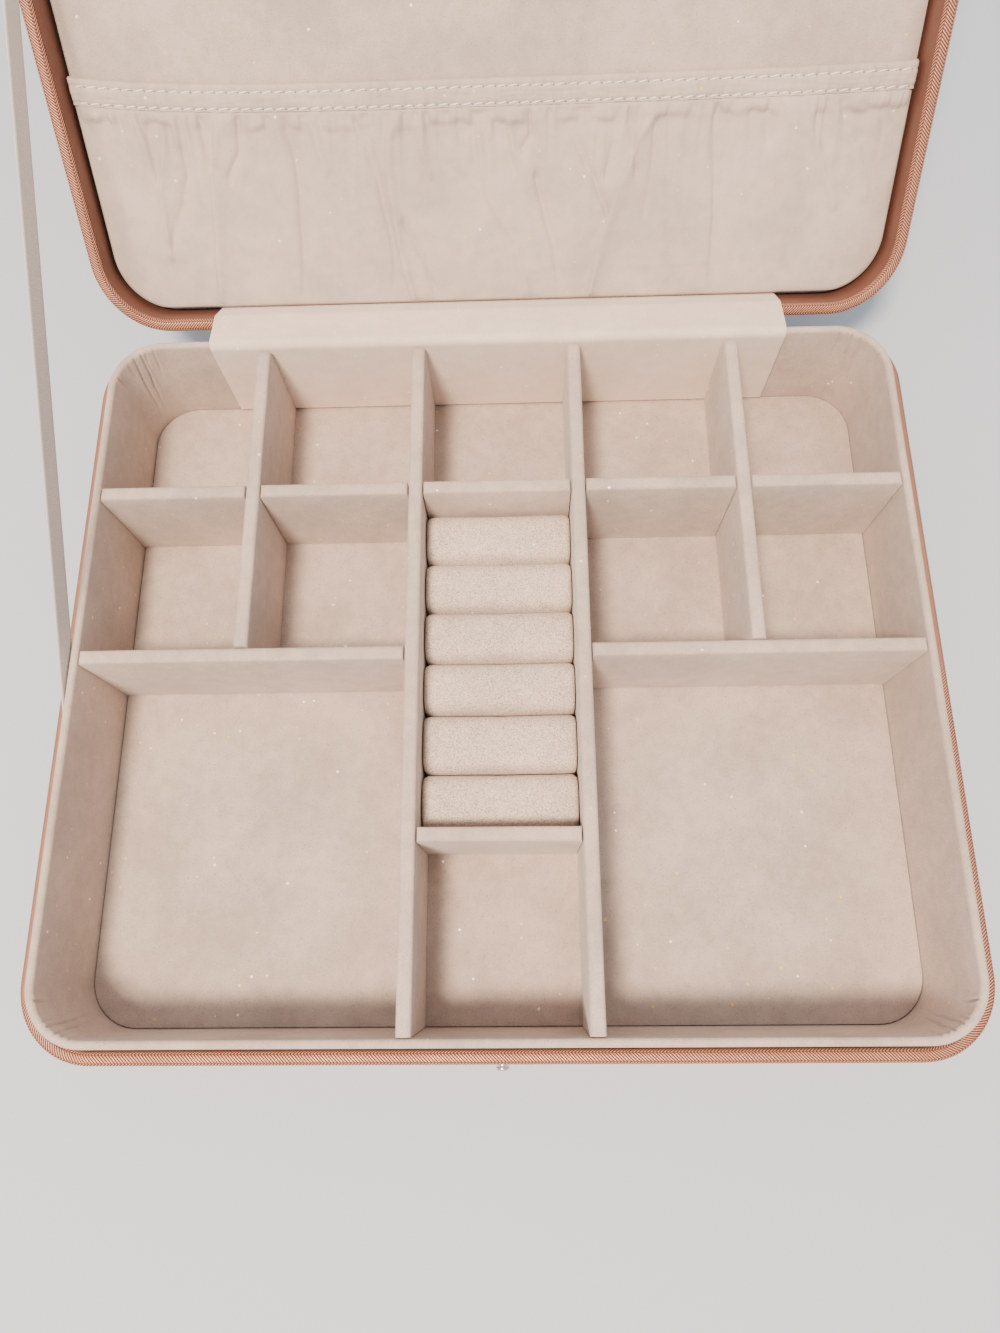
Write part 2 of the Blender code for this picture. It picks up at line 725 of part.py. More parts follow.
def band_ring(x, grow, inside):
    # The band's section at one place across the pad, outside or inside its cloth
    half_y = pad_half_sizes()[1]
    ruche = BAND_RUCHE * (1 + math.cos(math.tau * x / BAND_RUCHE_PITCH)) / 2
    low = half_y - POCKET_HEIGHT - SEAT - mouth_rise(x) - inside * BAND_CLOTH
    high = low - BAND_HEIGHT + 2 * inside * BAND_CLOTH
    middle = (low + high) / 2
    back = pad_height(pad_edge_distance(x, middle)) - SEAT - inside * BAND_CLOTH
    thickness = 2 * ELASTIC_PLAY + ELASTIC + 2 * BAND_CLOTH * (1 - inside)
    front = back - thickness - ruche
    shoulder = grow * thickness / 3
    return [
        (x, low, back - shoulder),
        (x, low, front + shoulder),
        (x, low - shoulder, front),
        (x, high + shoulder, front),
        (x, high, front + shoulder),
        (x, high, back - shoulder),
        (x, high + shoulder, back),
        (x, low - shoulder, back),
    ]


def band_places():
    half = pad_half_sizes()[0] - POCKET_EDGE
    count = 2 * round(2 * half / BAND_RUCHE_PITCH)
    return [half * (2 * k / count - 1) for k in range(count + 1)]


def make_pocket_band():
    # A flat sleeve with open ends, which the elastic runs through
    places = band_places()
    outer = [band_ring(x, 1, 0) for x in places]
    inner = [band_ring(x, 1, 1) for x in places]
    made = loft("pocket_band", outer + inner[::-1], "pad_velvet", ring=True)
    made.location.y = pad_centre_y()
    return made


def make_pocket_elastic():
    # A flat tape in the middle of the sleeve's hollow
    loops = []
    for x in band_places():
        ring = band_ring(x, 0, 1)
        low = ring[0][1] - ELASTIC_PLAY
        high = ring[4][1] + ELASTIC_PLAY
        back = ring[0][2] - ELASTIC_PLAY
        loops.append([
            (x, low, back),
            (x, low, back - ELASTIC),
            (x, high, back - ELASTIC),
            (x, high, back),
        ])
    made = loft("pocket_elastic", loops, "elastic", smooth=False)
    made.location.y = pad_centre_y()
    return made


def make_tab_root():
    # The end of the tab that is fixed to the lid's front wall
    half = TAB_WIDTH / 2
    face = -HINGE_BACKSET - CASE_DEPTH - SEAT
    low = TAB_FLEX_RISE + SEAT / 2
    loops = []
    for z in (low, low + TAB_ROOT_LENGTH):
        loops.append([(-half, face, z), (half, face, z), (half, face - TAB, z), (-half, face - TAB, z)])
    return loft("tab_root", loops, "rose_leatherette", smooth=False)


# Closure tab, in the frame of its flex line on the tab's outer face

def tab_stations():
    # Each station down the tab: its drop, its half width and how far it stands out
    half = TAB_WIDTH / 2
    out = SNAP_FACE - SEAT
    stations = [(SEAT / 2, half, 0), (TAB_BEND_DROP / 4, half, out / 6)]
    stations += [(TAB_BEND_DROP * 3 / 4, half, out * 5 / 6), (TAB_BEND_DROP, half, out)]
    for k in range(CORNER_STEPS + 1):
        turn = math.radians(90 * k / CORNER_STEPS)
        drop = TAB_DROP - TAB_TIP_RADIUS + TAB_TIP_RADIUS * math.sin(turn)
        stations.append((drop, half - TAB_TIP_RADIUS + TAB_TIP_RADIUS * math.cos(turn), out))
    return stations


def make_closure_tab():
    loops = []
    for drop, half, out in tab_stations():
        loops.append([
            (-half, TAB - out, -drop),
            (half, TAB - out, -drop),
            (half, -out, -drop),
            (-half, -out, -drop),
        ])
    return loft("closure_tab", loops, "rose_leatherette")


def snap_drop():
    # From the flex line down to the snap's centre, with the lid closed
    return HINGE_Z + TAB_FLEX_RISE - BASE_RIM_HEIGHT + STUD_DROP


def make_snap():
    # Heights run out from the case's front face, as the closed lid has them
    foot = SEAT + STUD_FLANGE + SEAT
    back = SNAP_FACE - SEAT
    bore = STUD_HEAD_RADIUS + SOCKET_PLAY
    hole = POST_RADIUS + STUD_HOLE_PLAY
    socket = turned("snap_socket", [
        (bore, foot),
        (SOCKET_RADIUS - SOCKET_BACK, foot),
        (SOCKET_RADIUS, foot + SOCKET_BACK),
        (SOCKET_RADIUS, back),
        (hole, back),
        (hole, back - SOCKET_BACK),
        (bore, back - SOCKET_BACK),
    ], "nickel")
    face = SNAP_FACE + TAB + SEAT
    flare = back - SOCKET_BACK - SEAT
    cap = turned("snap_cap", [
        (0, face + CAP_RISE),
        (CAP_RADIUS / 2, face + CAP_RISE * 6 / 7),
        (CAP_RADIUS * 5 / 6, face + CAP_RISE / 2),
        (CAP_RADIUS, face + CAP_RIM / 2),
        (CAP_RADIUS, face),
        (POST_RADIUS, face),
        (POST_RADIUS, flare),
        (POST_FLARE_RADIUS, flare),
        (POST_FLARE_RADIUS, flare - CLENCH),
        (0, flare - CLENCH),
    ], "nickel")
    for item in (socket, cap):
        item.location = (0, TAB + SEAT, -snap_drop())
        item.rotation_euler.x = math.radians(90)
    return [socket, cap]


# Assembly

def make_base():
    wrap = make_base_wrap()
    board = make_base_board()
    middle = (0, -CASE_DEPTH / 2 + WALL / 2, BASE_RIM_HEIGHT - STUD_DROP)
    for item in (wrap, board):
        cut_hole(item, "cut_" + item.name, STUD_NECK_RADIUS + STUD_HOLE_PLAY, middle, WALL + CUT_OVERRUN)
    make_bottom_sheet()
    make_base_liner()
    make_floor_pad()
    make_dividers()
    make_ring_rolls()
    make_stud()
    make_hinge_strap()
    make_hinge_flap()
    make_stay_ribbon()


def make_lid():
    hinge = bpy.data.objects.new("lid_hinge", None)
    bpy.context.scene.collection.objects.link(hinge)
    hinge.location = (0, HINGE_Y, HINGE_Z)
    hinge.rotation_euler.x = math.radians(-OPEN_ANGLE)
    shells = [make_lid_wrap(), make_lid_board(), make_lid_band()]
    for shell in shells:
        shell.location.y = -HINGE_BACKSET - CASE_DEPTH / 2
    linings = [make_pad_board(), make_lid_pad(), make_pocket_cloth()]
    linings += [make_pocket_band(), make_pocket_elastic(), make_tab_root()]
    carry(hinge, *shells, *linings)
    return hinge


def make_tab(hinge):
    flex = bpy.data.objects.new("tab_flex", None)
    bpy.context.scene.collection.objects.link(flex)
    flex.location = (0, -HINGE_BACKSET - CASE_DEPTH - SEAT - TAB, TAB_FLEX_RISE)
    flex.parent = hinge
    tab = make_closure_tab()
    tab.parent = flex
    middle = (0, TAB / 2 - SNAP_FACE + SEAT, -snap_drop())
    cut_hole(tab, "cut_closure_tab", POST_RADIUS + STUD_HOLE_PLAY, middle, TAB + CUT_OVERRUN)
    carry(flex, *make_snap())


clear_scene()
make_base()
make_tab(make_lid())
bpy.context.view_layer.update()
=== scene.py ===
import json
import math

import bmesh
import bpy
from mathutils import Matrix, Vector, noise


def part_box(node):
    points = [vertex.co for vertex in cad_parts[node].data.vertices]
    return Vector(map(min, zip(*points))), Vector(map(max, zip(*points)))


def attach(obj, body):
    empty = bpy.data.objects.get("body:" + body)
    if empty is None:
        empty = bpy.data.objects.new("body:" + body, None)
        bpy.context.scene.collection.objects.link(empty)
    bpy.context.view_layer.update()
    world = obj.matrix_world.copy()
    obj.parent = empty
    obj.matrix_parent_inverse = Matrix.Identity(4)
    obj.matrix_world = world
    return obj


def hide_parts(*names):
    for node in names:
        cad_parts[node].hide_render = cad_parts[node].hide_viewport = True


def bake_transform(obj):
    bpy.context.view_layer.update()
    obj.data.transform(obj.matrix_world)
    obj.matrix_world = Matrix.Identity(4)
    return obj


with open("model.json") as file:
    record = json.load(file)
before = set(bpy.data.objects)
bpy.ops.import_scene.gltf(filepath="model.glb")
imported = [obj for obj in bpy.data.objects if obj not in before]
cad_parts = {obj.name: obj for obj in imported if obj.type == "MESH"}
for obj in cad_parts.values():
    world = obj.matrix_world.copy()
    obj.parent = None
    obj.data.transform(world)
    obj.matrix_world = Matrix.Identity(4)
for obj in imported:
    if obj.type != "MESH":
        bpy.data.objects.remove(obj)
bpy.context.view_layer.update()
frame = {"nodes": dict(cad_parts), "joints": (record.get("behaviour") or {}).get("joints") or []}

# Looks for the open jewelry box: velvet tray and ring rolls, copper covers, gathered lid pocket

mm = 0.001
# Two places closer than this count as level with each other
hair = 0.01 * mm
# Doubled points closer than this are welded
weld = 0.002 * mm

# Driving sizes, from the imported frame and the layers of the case

coverLow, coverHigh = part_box("base_wrap")
caseShape = {
    "width": coverHigh.x - coverLow.x,
    "depth": coverHigh.y - coverLow.y,
    "corner": 20 * mm,
    "rimTop": coverHigh.z,
    "hemHeight": coverLow.z,
    "cover": 0.65 * mm,
    "board": 1.5 * mm,
    "seat": 0.3 * mm,
    "rimRadius": 1.3 * mm,
}
caseShape["wall"] = 2 * caseShape["cover"] + 2 * caseShape["seat"] + caseShape["board"]
# The corners turn about the ends of these straight halves
caseShape["halfX"] = caseShape["width"] / 2 - caseShape["corner"]
caseShape["halfY"] = caseShape["depth"] / 2 - caseShape["corner"]

hinge = next(joint for joint in frame["joints"] if joint["name"] == "lid_hinge")
hingePoint = Vector(hinge["pos_m"])
openAngle = math.radians(hinge["range_deg"][1])
lidMatrix = Matrix.Translation(hingePoint) @ Matrix.Rotation(-openAngle, 4, "X")
hingeBackset = hingePoint.y - caseShape["depth"] / 2


def lidBox(node):
    # Lowest and highest corner of a CAD node in the closed lid's own frame
    undo = lidMatrix.inverted()
    places = [undo @ vert.co for vert in frame["nodes"][node].data.vertices]
    low = Vector([min(place[k] for place in places) for k in range(3)])
    high = Vector([max(place[k] for place in places) for k in range(3)])
    return low, high


def ease(value):
    value = min(max(value, 0), 1)
    return value * value * (3 - 2 * value)


def ripple(place, size, seed=0.0):
    # Smooth bumps of about the given size, from -1 to 1
    return noise.noise(Vector(place) / size + Vector((seed, 3.7 * seed, 1.3 * seed)))


# Material tools

def addNode(tree, kind, inputs=None, **settings):
    made = tree.nodes.new("ShaderNode" + kind)
    for key, value in settings.items():
        setattr(made, key, value)
    for key, value in (inputs or {}).items():
        if isinstance(value, bpy.types.NodeSocket):
            tree.links.new(value, made.inputs[key])
        else:
            made.inputs[key].default_value = value
    return made


def sums(tree, operation, first, second=0.0):
    return addNode(tree, "Math", {0: first, 1: second}, operation=operation).outputs[0]


def plus(tree, first, second):
    return sums(tree, "ADD", first, second)


def times(tree, first, second):
    return sums(tree, "MULTIPLY", first, second)


def remap(tree, value, low, high, outLow=0.0, outHigh=1.0):
    return addNode(tree, "MapRange", {"Value": value, "From Min": low, "From Max": high,
                                      "To Min": outLow, "To Max": outHigh}).outputs[0]


def mixColours(tree, share, first, second, blend="MIX"):
    made = addNode(tree, "Mix", {0: share, 6: first, 7: second}, data_type="RGBA", blend_type=blend)
    return made.outputs[2]


def twoTone(tree, share, dark, light):
    return mixColours(tree, share, (*dark, 1), (*light, 1))


def cloudy(tree, place, scale, detail=2.0, roughness=0.5):
    return addNode(tree, "TexNoise", {"Vector": place, "Scale": scale, "Detail": detail,
                                      "Roughness": roughness}).outputs["Fac"]


def newGroup(name, inputs, outputs):
    group = bpy.data.node_groups.new(name, "ShaderNodeTree")
    for label, kind, value in inputs:
        made = group.interface.new_socket(name=label, in_out="INPUT", socket_type="NodeSocket" + kind)
        if value is not None:
            made.default_value = value
    for label, kind in outputs:
        group.interface.new_socket(name=label, in_out="OUTPUT", socket_type="NodeSocket" + kind)
    given = group.nodes.new("NodeGroupInput").outputs
    result = group.nodes.new("NodeGroupOutput").inputs
    return group, given, result


def velvetGroup():
    group, given, result = newGroup("velvetPile", [
        ("Place", "Vector", None),
        *[(label, "Color", None) for label in ("Light Tone", "Dark Tone", "Fleck Tone")],
        *[(label, "Float", None) for label in ("Mottle", "Grain", "Flecks", "Sparkle")],
    ], [("Colour", "Color"), ("Roughness", "Float"), ("Metallic", "Float"), ("Height", "Float")])
    place = given["Place"]
    # Three sizes of cloud, each swinging about zero: (scale, detail, roughness)
    patches, strokes, pile = [
        sums(group, "SUBTRACT", cloudy(group, place, *cloud), 0.5)
        for cloud in ((48, 3), (260, 2), (2300, 2, 0.65))
    ]
    soft = times(group, plus(group, patches, times(group, strokes, 0.55)), given["Mottle"])
    share = plus(group, plus(group, 0.5, times(group, soft, 2.4)), times(group, pile, given["Grain"]))
    tone = mixColours(group, remap(group, share, 0, 1), given["Dark Tone"], given["Light Tone"])
    # Dark fibres, then the few gold and white threads in the pile, whose bright base colour is partly a
    # painted glint
    fibres = remap(group, cloudy(group, place, 2500, 1, 0.4), 0.60, 0.72)
    tone = mixColours(group, times(group, fibres, given["Flecks"]), tone, given["Fleck Tone"])
    seeds = addNode(group, "TexVoronoi", {"Vector": place, "Scale": 225.0})
    glintDots = remap(group, seeds.outputs["Distance"], 0.10, 0.07)
    pick = addNode(group, "SeparateColor", {"Color": seeds.outputs["Color"]})
    glintDots = times(group, glintDots, sums(group, "LESS_THAN", pick.outputs[0], 0.5))
    glintDots = times(group, glintDots, given["Sparkle"])
    # Near-white and strong gold tones: painted glint standing in for light caught by the threads
    threadGlintTone = mixColours(group, sums(group, "GREATER_THAN", pick.outputs[1], 0.6),
                        (1.0, 0.60, 0.12, 1), (1.0, 0.98, 0.92, 1))
    tone = mixColours(group, glintDots, tone, threadGlintTone)
    group.links.new(tone, result["Colour"])
    group.links.new(remap(group, glintDots, 0, 1, 0.96, 0.22), result["Roughness"])
    group.links.new(times(group, glintDots, 0.1), result["Metallic"])
    height = plus(group, pile, times(group, strokes, 0.6))
    group.links.new(height, result["Height"])
    return group


def braidGroup():
    # Slanting strokes that meet in chevrons, pressed into the cover
    group, given, result = newGroup("pressedBraid", [
        ("Wrap", "Vector", None),
        ("Pitch", "Float", 0.00082),
        ("Row", "Float", 0.0022),
    ], [("Height", "Float"), ("Strokes", "Float")])
    parts = addNode(group, "SeparateXYZ", {0: given["Wrap"]})
    waver = times(group, cloudy(group, given["Wrap"], 160, 1), 0.0005)
    # The shift sets one whole row along the crest of each rim
    across = sums(group, "PINGPONG", plus(group, parts.outputs["Y"], 0.9627), given["Row"])
    slant = plus(group, plus(group, parts.outputs["X"], waver), across)
    turns = times(group, sums(group, "DIVIDE", slant, given["Pitch"]), math.tau)
    wave = sums(group, "SINE", turns)
    strokes = remap(group, wave, -0.3, 0.5)
    nearRow = sums(group, "DIVIDE", across, given["Row"])
    meet = remap(group, sums(group, "ABSOLUTE", sums(group, "SUBTRACT", nearRow, 0.5)), 0.5, 0.42)
    grain = cloudy(group, given["Wrap"], 3800, 2)

    def shaded(least, gain):
        return times(group, strokes, plus(group, least, times(group, meet, gain)))

    height = plus(group, shaded(0.35, 0.65), times(group, grain, 0.25))
    group.links.new(height, result["Height"])
    # The stroke mask, dimmed where rows meet, also sets the colour, so the grooves between strokes and rows
    # get painted shade
    group.links.new(shaded(0.3, 0.7), result["Strokes"])
    return group


def ribGroup():
    # Fine raised ribs across a tape
    group, given, result = newGroup("tapeRibs", [
        ("Wrap", "Vector", None),
        ("Pitch", "Float", 0.0005),
    ], [("Height", "Float")])
    parts = addNode(group, "SeparateXYZ", {0: given["Wrap"]})
    turns = times(group, sums(group, "DIVIDE", parts.outputs["X"], given["Pitch"]), math.tau)
    wave = times(group, sums(group, "SINE", turns), 0.5)
    yarn = times(group, cloudy(group, given["Wrap"], 3000, 1), 0.5)
    group.links.new(plus(group, wave, yarn), result["Height"])
    return group


groups = {"velvet": velvetGroup(), "braid": braidGroup(), "ribs": ribGroup()}


def newMaterial(name, colour, roughness, metallic=0.0, **constants):
    # A shader whose unlinked sockets are set here; the colour stays behind any linked one
    made = bpy.data.materials.new(name)
    made.use_nodes = True
    made.diffuse_color = (*colour, 1)
    tree = made.node_tree
    shader = tree.nodes["Principled BSDF"]
    shader.inputs["Base Color"].default_value = (*colour, 1)
    shader.inputs["Roughness"].default_value = roughness
    shader.inputs["Metallic"].default_value = metallic
    for key, value in constants.items():
        shader.inputs[key.replace("_", " ")].default_value = value
    return made, tree, shader


def objectPlace(tree):
    return tree.nodes.new("ShaderNodeTexCoord").outputs["Object"]


def wrapPlace(tree, layer):
    return addNode(tree, "UVMap", uv_map=layer).outputs["UV"]


def feed(tree, shader, links):
    for label, value in links.items():
        tree.links.new(value, shader.inputs[label])


def emboss(tree, shader, height, distance, strength=1.0):
    bump = addNode(tree, "Bump", {"Height": height, "Distance": distance, "Strength": strength})
    feed(tree, shader, {"Normal": bump.outputs["Normal"]})


def velvet(name, light, dark, mottle=1.0, grain=1.3, flecks=0.4, sparkle=1.0, nap=0.00022):
    made, tree, shader = newMaterial(name, light, 0.95, Sheen_Weight=0.2, Sheen_Roughness=0.55,
                                     Specular_IOR_Level=0.12)
    pile = addNode(tree, "Group", {
        "Place": objectPlace(tree),
        "Light Tone": (*light, 1),
        "Dark Tone": (*dark, 1),
        "Fleck Tone": (0.24, 0.17, 0.13, 1),
        "Mottle": mottle,
        "Grain": grain,
        "Flecks": flecks,
        "Sparkle": sparkle,
    }, node_tree=groups["velvet"]).outputs
    feed(tree, shader, {"Base Color": pile["Colour"], "Roughness": pile["Roughness"],
                        "Metallic": pile["Metallic"]})
    emboss(tree, shader, pile["Height"], nap, 0.6)
    return made


def braidedCopper(name, light, dark):
    made, tree, shader = newMaterial(name, light, 0.34, 0.55, Specular_IOR_Level=0.3)
    braid = addNode(tree, "Group", {"Wrap": wrapPlace(tree, "wrap")}, node_tree=groups["braid"]).outputs
    wear = cloudy(tree, objectPlace(tree), 70, 3)
    share = times(tree, braid["Strokes"], remap(tree, wear, 0.3, 0.7, 0.8, 1.0))
    # Dark tone in the pressed grooves between strokes and where rows meet: painted shade, with the grooves
    # also rougher and less metallic
    feed(tree, shader, {
        "Base Color": twoTone(tree, share, dark, light),
        "Roughness": remap(tree, share, 0, 1, 0.75, 0.42),
        "Metallic": remap(tree, share, 0, 1, 0.1, 0.45),
    })
    emboss(tree, shader, braid["Height"], 0.00030, 1.0)
    return made


def satinCopper(name, light, dark):
    made, tree, shader = newMaterial(name, light, 0.4, 0.1, Specular_IOR_Level=0.28)
    place = objectPlace(tree)
    tone = remap(tree, cloudy(tree, place, 55, 3), 0.3, 0.7)
    feed(tree, shader, {
        "Base Color": twoTone(tree, tone, dark, light),
        "Roughness": remap(tree, cloudy(tree, place, 300, 2), 0.3, 0.7, 0.34, 0.48),
    })
    emboss(tree, shader, cloudy(tree, place, 1500, 3), 0.00004, 0.5)
    return made


def grainy(name, light, dark, roughness, scale, depth, stretch=(1, 1, 1), metallic=0.0, **constants):
    # Two tones over a noise grain, for board, paper, metal and thread
    made, tree, shader = newMaterial(name, light, roughness, metallic, **constants)
    turned = addNode(tree, "Mapping", {"Vector": objectPlace(tree), "Scale": stretch}).outputs[0]
    grain = cloudy(tree, turned, scale, 3)
    feed(tree, shader, {
        "Base Color": twoTone(tree, remap(tree, grain, 0.35, 0.65), dark, light),
        "Roughness": remap(tree, grain, 0.3, 0.7, roughness * 0.88, min(roughness * 1.12, 1)),
    })
    emboss(tree, shader, grain, depth, 0.6)
    return made


def wovenTape(name, light, dark):
    made, tree, shader = newMaterial(name, light, 0.6, 0.0, Sheen_Weight=0.2)
    wrap = wrapPlace(tree, "wrap")
    ribs = addNode(tree, "Group", {"Wrap": wrap}, node_tree=groups["ribs"]).outputs["Height"]
    feed(tree, shader, {"Base Color": twoTone(tree, remap(tree, ribs, -0.4, 0.7), dark, light)})
    emboss(tree, shader, ribs, 0.00008, 0.7)
    return made


# Each finish: who makes it, its light and dark tone, and what else the maker takes
finishRecipes = {
    "trayVelvet": (velvet, (0.590, 0.460, 0.380), (0.455, 0.352, 0.290), {}),
    "rollVelvet": (velvet, (0.800, 0.635, 0.520), (0.460, 0.355, 0.285),
                   {"mottle": 0.3, "grain": 3.2, "flecks": 0.9, "sparkle": 0.8}),
    "padVelvet": (velvet, (0.590, 0.462, 0.385), (0.470, 0.366, 0.304), {"flecks": 0.3}),
    "pocketVelvet": (velvet, (0.610, 0.478, 0.398), (0.495, 0.387, 0.322),
                     {"grain": 0.8, "flecks": 0.1, "sparkle": 0.8, "nap": 0.00012}),
    # Lighter than the tray velvet: painted light, for the brighter light falling on the flap's top
    "flapVelvet": (velvet, (0.840, 0.675, 0.560), (0.740, 0.590, 0.485),
                   {"grain": 0.8, "flecks": 0.2, "sparkle": 0.8, "nap": 0.00012}),
    "copperBraid": (braidedCopper, (0.86, 0.43, 0.28), (0.14, 0.046, 0.026), {}),
    # Smooth satin copper, its very dark tones painted shade for the sideways-facing band of the lid's inner
    # wall
    "copperSatin": (satinCopper, (0.185, 0.075, 0.050), (0.150, 0.060, 0.038), {}),
    "ribbonTape": (wovenTape, (0.66, 0.62, 0.58), (0.54, 0.50, 0.46), {}),
    "greyBoard": (grainy, (0.46, 0.43, 0.38), (0.36, 0.33, 0.29),
                  {"roughness": 0.9, "scale": 900, "depth": 0.0001}),
    "backingPaper": (grainy, (0.16, 0.13, 0.12), (0.10, 0.085, 0.08),
                     {"roughness": 0.85, "scale": 1200, "depth": 0.00008}),
    "elasticTape": (grainy, (0.76, 0.74, 0.71), (0.62, 0.60, 0.57),
                    {"roughness": 0.85, "scale": 500, "depth": 0.0001, "stretch": (6, 1, 1)}),
    "nickelPlate": (grainy, (0.80, 0.77, 0.73), (0.70, 0.67, 0.63),
                    {"roughness": 0.22, "scale": 900, "depth": 0.000006, "metallic": 1.0}),
    "paleThread": (grainy, (0.98, 0.95, 0.90), (0.84, 0.79, 0.72),
                   {"roughness": 0.6, "scale": 3200, "depth": 0.00005, "Sheen_Weight": 0.2}),
    # Dark balls standing in for the shade inside the needle holes: painted shade
    "needleHole": (grainy, (0.24, 0.19, 0.16), (0.16, 0.12, 0.10),
                   {"roughness": 0.95, "scale": 3200, "depth": 0.00003}),
    "copperThread": (grainy, (0.74, 0.42, 0.30), (0.52, 0.26, 0.18),
                     {"roughness": 0.6, "scale": 3200, "depth": 0.00005}),
}
finishes = {name: maker(name, light, dark, **more)
            for name, (maker, light, dark, more) in finishRecipes.items()}
print("finishes ready")


# Mesh tools

def closeShell(bm):
    bmesh.ops.recalc_face_normals(bm, faces=bm.faces)
    if bm.calc_volume(signed=True) < 0:
        bmesh.ops.reverse_faces(bm, faces=bm.faces)


def makePiece(name, bm, finish, body="", nodes=(), place=None, sharp=45):
    if place is not None:
        bm.transform(place)
    mesh = bpy.data.meshes.new(name)
    bm.to_mesh(mesh)
    bm.free()
    mesh.shade_smooth()
    mesh.set_sharp_from_angle(angle=math.radians(sharp))
    mesh.materials.append(finishes[finish])
    piece = bpy.data.objects.new(name, mesh)
    bpy.context.scene.collection.objects.link(piece)
    if body:
        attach(piece, body)
    if nodes:
        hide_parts(*nodes)
    return piece


def arc(centre, radius, start, end, steps):
    points = []
    for k in range(steps + 1):
        turn = math.radians(start + (end - start) * k / steps)
        points.append((centre[0] + radius * math.cos(turn), centre[1] + radius * math.sin(turn)))
    return points


def openEdges(bm):
    return [edge for edge in bm.edges if edge.is_boundary]


def isAbove(edge, axis, level):
    return all(vert.co[axis] > level for vert in edge.verts)


def isBelow(edge, axis, level):
    return all(vert.co[axis] < level for vert in edge.verts)


def edgeSpan(edge, axis):
    return abs(edge.verts[0].co[axis] - edge.verts[1].co[axis])


def isSharp(edge):
    return len(edge.link_faces) == 2 and edge.calc_face_angle() > 1


def newBar(size, middle):
    # A plain box, for rounding off
    bm = bmesh.new()
    bmesh.ops.create_cube(bm, size=1)
    bmesh.ops.scale(bm, verts=bm.verts, vec=size)
    bmesh.ops.translate(bm, verts=bm.verts, vec=middle)
    return bm


def roundSelected(bm, edges, offset, segments, clamp=True):
    bmesh.ops.bevel(bm, geom=edges, offset=offset, segments=segments, profile=0.5,
                    affect="EDGES", material=-1, clamp_overlap=clamp)


def nearCore(point):
    # The point of the straight core, which the corners turn about, that is nearest to a point
    halfX, halfY = caseShape["halfX"], caseShape["halfY"]
    return min(max(point.x, -halfX), halfX), min(max(point.y, -halfY), halfY)


def wayRound(point):
    # How far round the outline a point is, from the middle of the back, and which way is out
    halfX, halfY = caseShape["halfX"], caseShape["halfY"]
    nearX, nearY = nearCore(point)
    out = Vector((point.x - nearX, point.y - nearY, 0)).normalized()
    turn = math.atan2(-out.x, out.y) % math.tau
    if nearX <= -halfX:
        straight = halfX + halfY - nearY
    elif nearX >= halfX:
        straight = 3 * halfX + 3 * halfY + nearY
    elif point.y < 0:
        straight = 2 * halfX + 2 * halfY + nearX
    else:
        straight = -nearX if nearX <= 0 else 4 * (halfX + halfY) - nearX
        turn = 0 if nearX <= 0 else math.tau
    return straight + caseShape["corner"] * turn, out


def sweepRound(section, cornerSteps, sideStep=6 * mm, closed=True):
    # A section of (inset, height), drawn along each side of the case and spun round each corner
    corner, halfX, halfY = caseShape["corner"], caseShape["halfX"], caseShape["halfY"]
    bm = bmesh.new()
    across = bm.verts.layers.float.new("across")
    verts = [bm.verts.new((0, caseShape["depth"] / 2 - inset, height)) for inset, height in section]
    for first, second in zip(verts, verts[1:]):
        second[across] = first[across] + (second.co - first.co).length
    edges = [bm.edges.new(pair) for pair in zip(verts, verts[1:])]
    if closed:
        edges.append(bm.edges.new((verts[-1], verts[0])))
    geom = verts + edges
    legs = [
        ((-halfX, 0), (-halfX, halfY)),
        ((0, -2 * halfY), (-halfX, -halfY)),
        ((2 * halfX, 0), (halfX, -halfY)),
        ((0, 2 * halfY), (halfX, halfY)),
        ((-halfX, 0), None),
    ]
    for run, pivot in legs:
        run = Vector((*run, 0))
        steps = max(1, round(run.length / sideStep))
        drawn = bmesh.ops.spin(bm, geom=geom, cent=(0, 0, 0), axis=(0, 0, 1), angle=0,
                               dvec=run / steps, steps=steps)
        geom = drawn["geom_last"]
        if pivot:
            turned = bmesh.ops.spin(bm, geom=geom, cent=(*pivot, 0), axis=(0, 0, 1),
                                    angle=math.pi / 2, steps=cornerSteps)
            geom = turned["geom_last"]
    bmesh.ops.remove_doubles(bm, verts=bm.verts, dist=weld)
    girth = 4 * (halfX + halfY) + math.tau * corner
    wrap = bm.loops.layers.uv.new("wrap")
    for face in bm.faces:
        ways = [wayRound(loop.vert.co)[0] for loop in face.loops]
        for loop, way in zip(face.loops, ways):
            late = girth if max(ways) - way > girth / 2 else 0
            loop[wrap].uv = (way + late, loop.vert[across])
    return bm


def roundedPlate(width, depth, corner, step):
    # A grid whose four corner squares are drawn in to quarter discs
    bm = bmesh.new()
    bmesh.ops.create_grid(bm, x_segments=round(width / step), y_segments=round(depth / step), size=0.5)
    bmesh.ops.scale(bm, verts=bm.verts, vec=(width, depth, 1))
    for vert in bm.verts:
        overX = max(abs(vert.co.x) - width / 2 + corner, 0) / corner
        overY = max(abs(vert.co.y) - depth / 2 + corner, 0) / corner
        if overX > 0 and overY > 0:
            drawX = overX * math.sqrt(1 - overY * overY / 2)
            drawY = overY * math.sqrt(1 - overX * overX / 2)
            vert.co.x = math.copysign(width / 2 - corner + corner * drawX, vert.co.x)
            vert.co.y = math.copysign(depth / 2 - corner + corner * drawY, vert.co.y)
    return bm


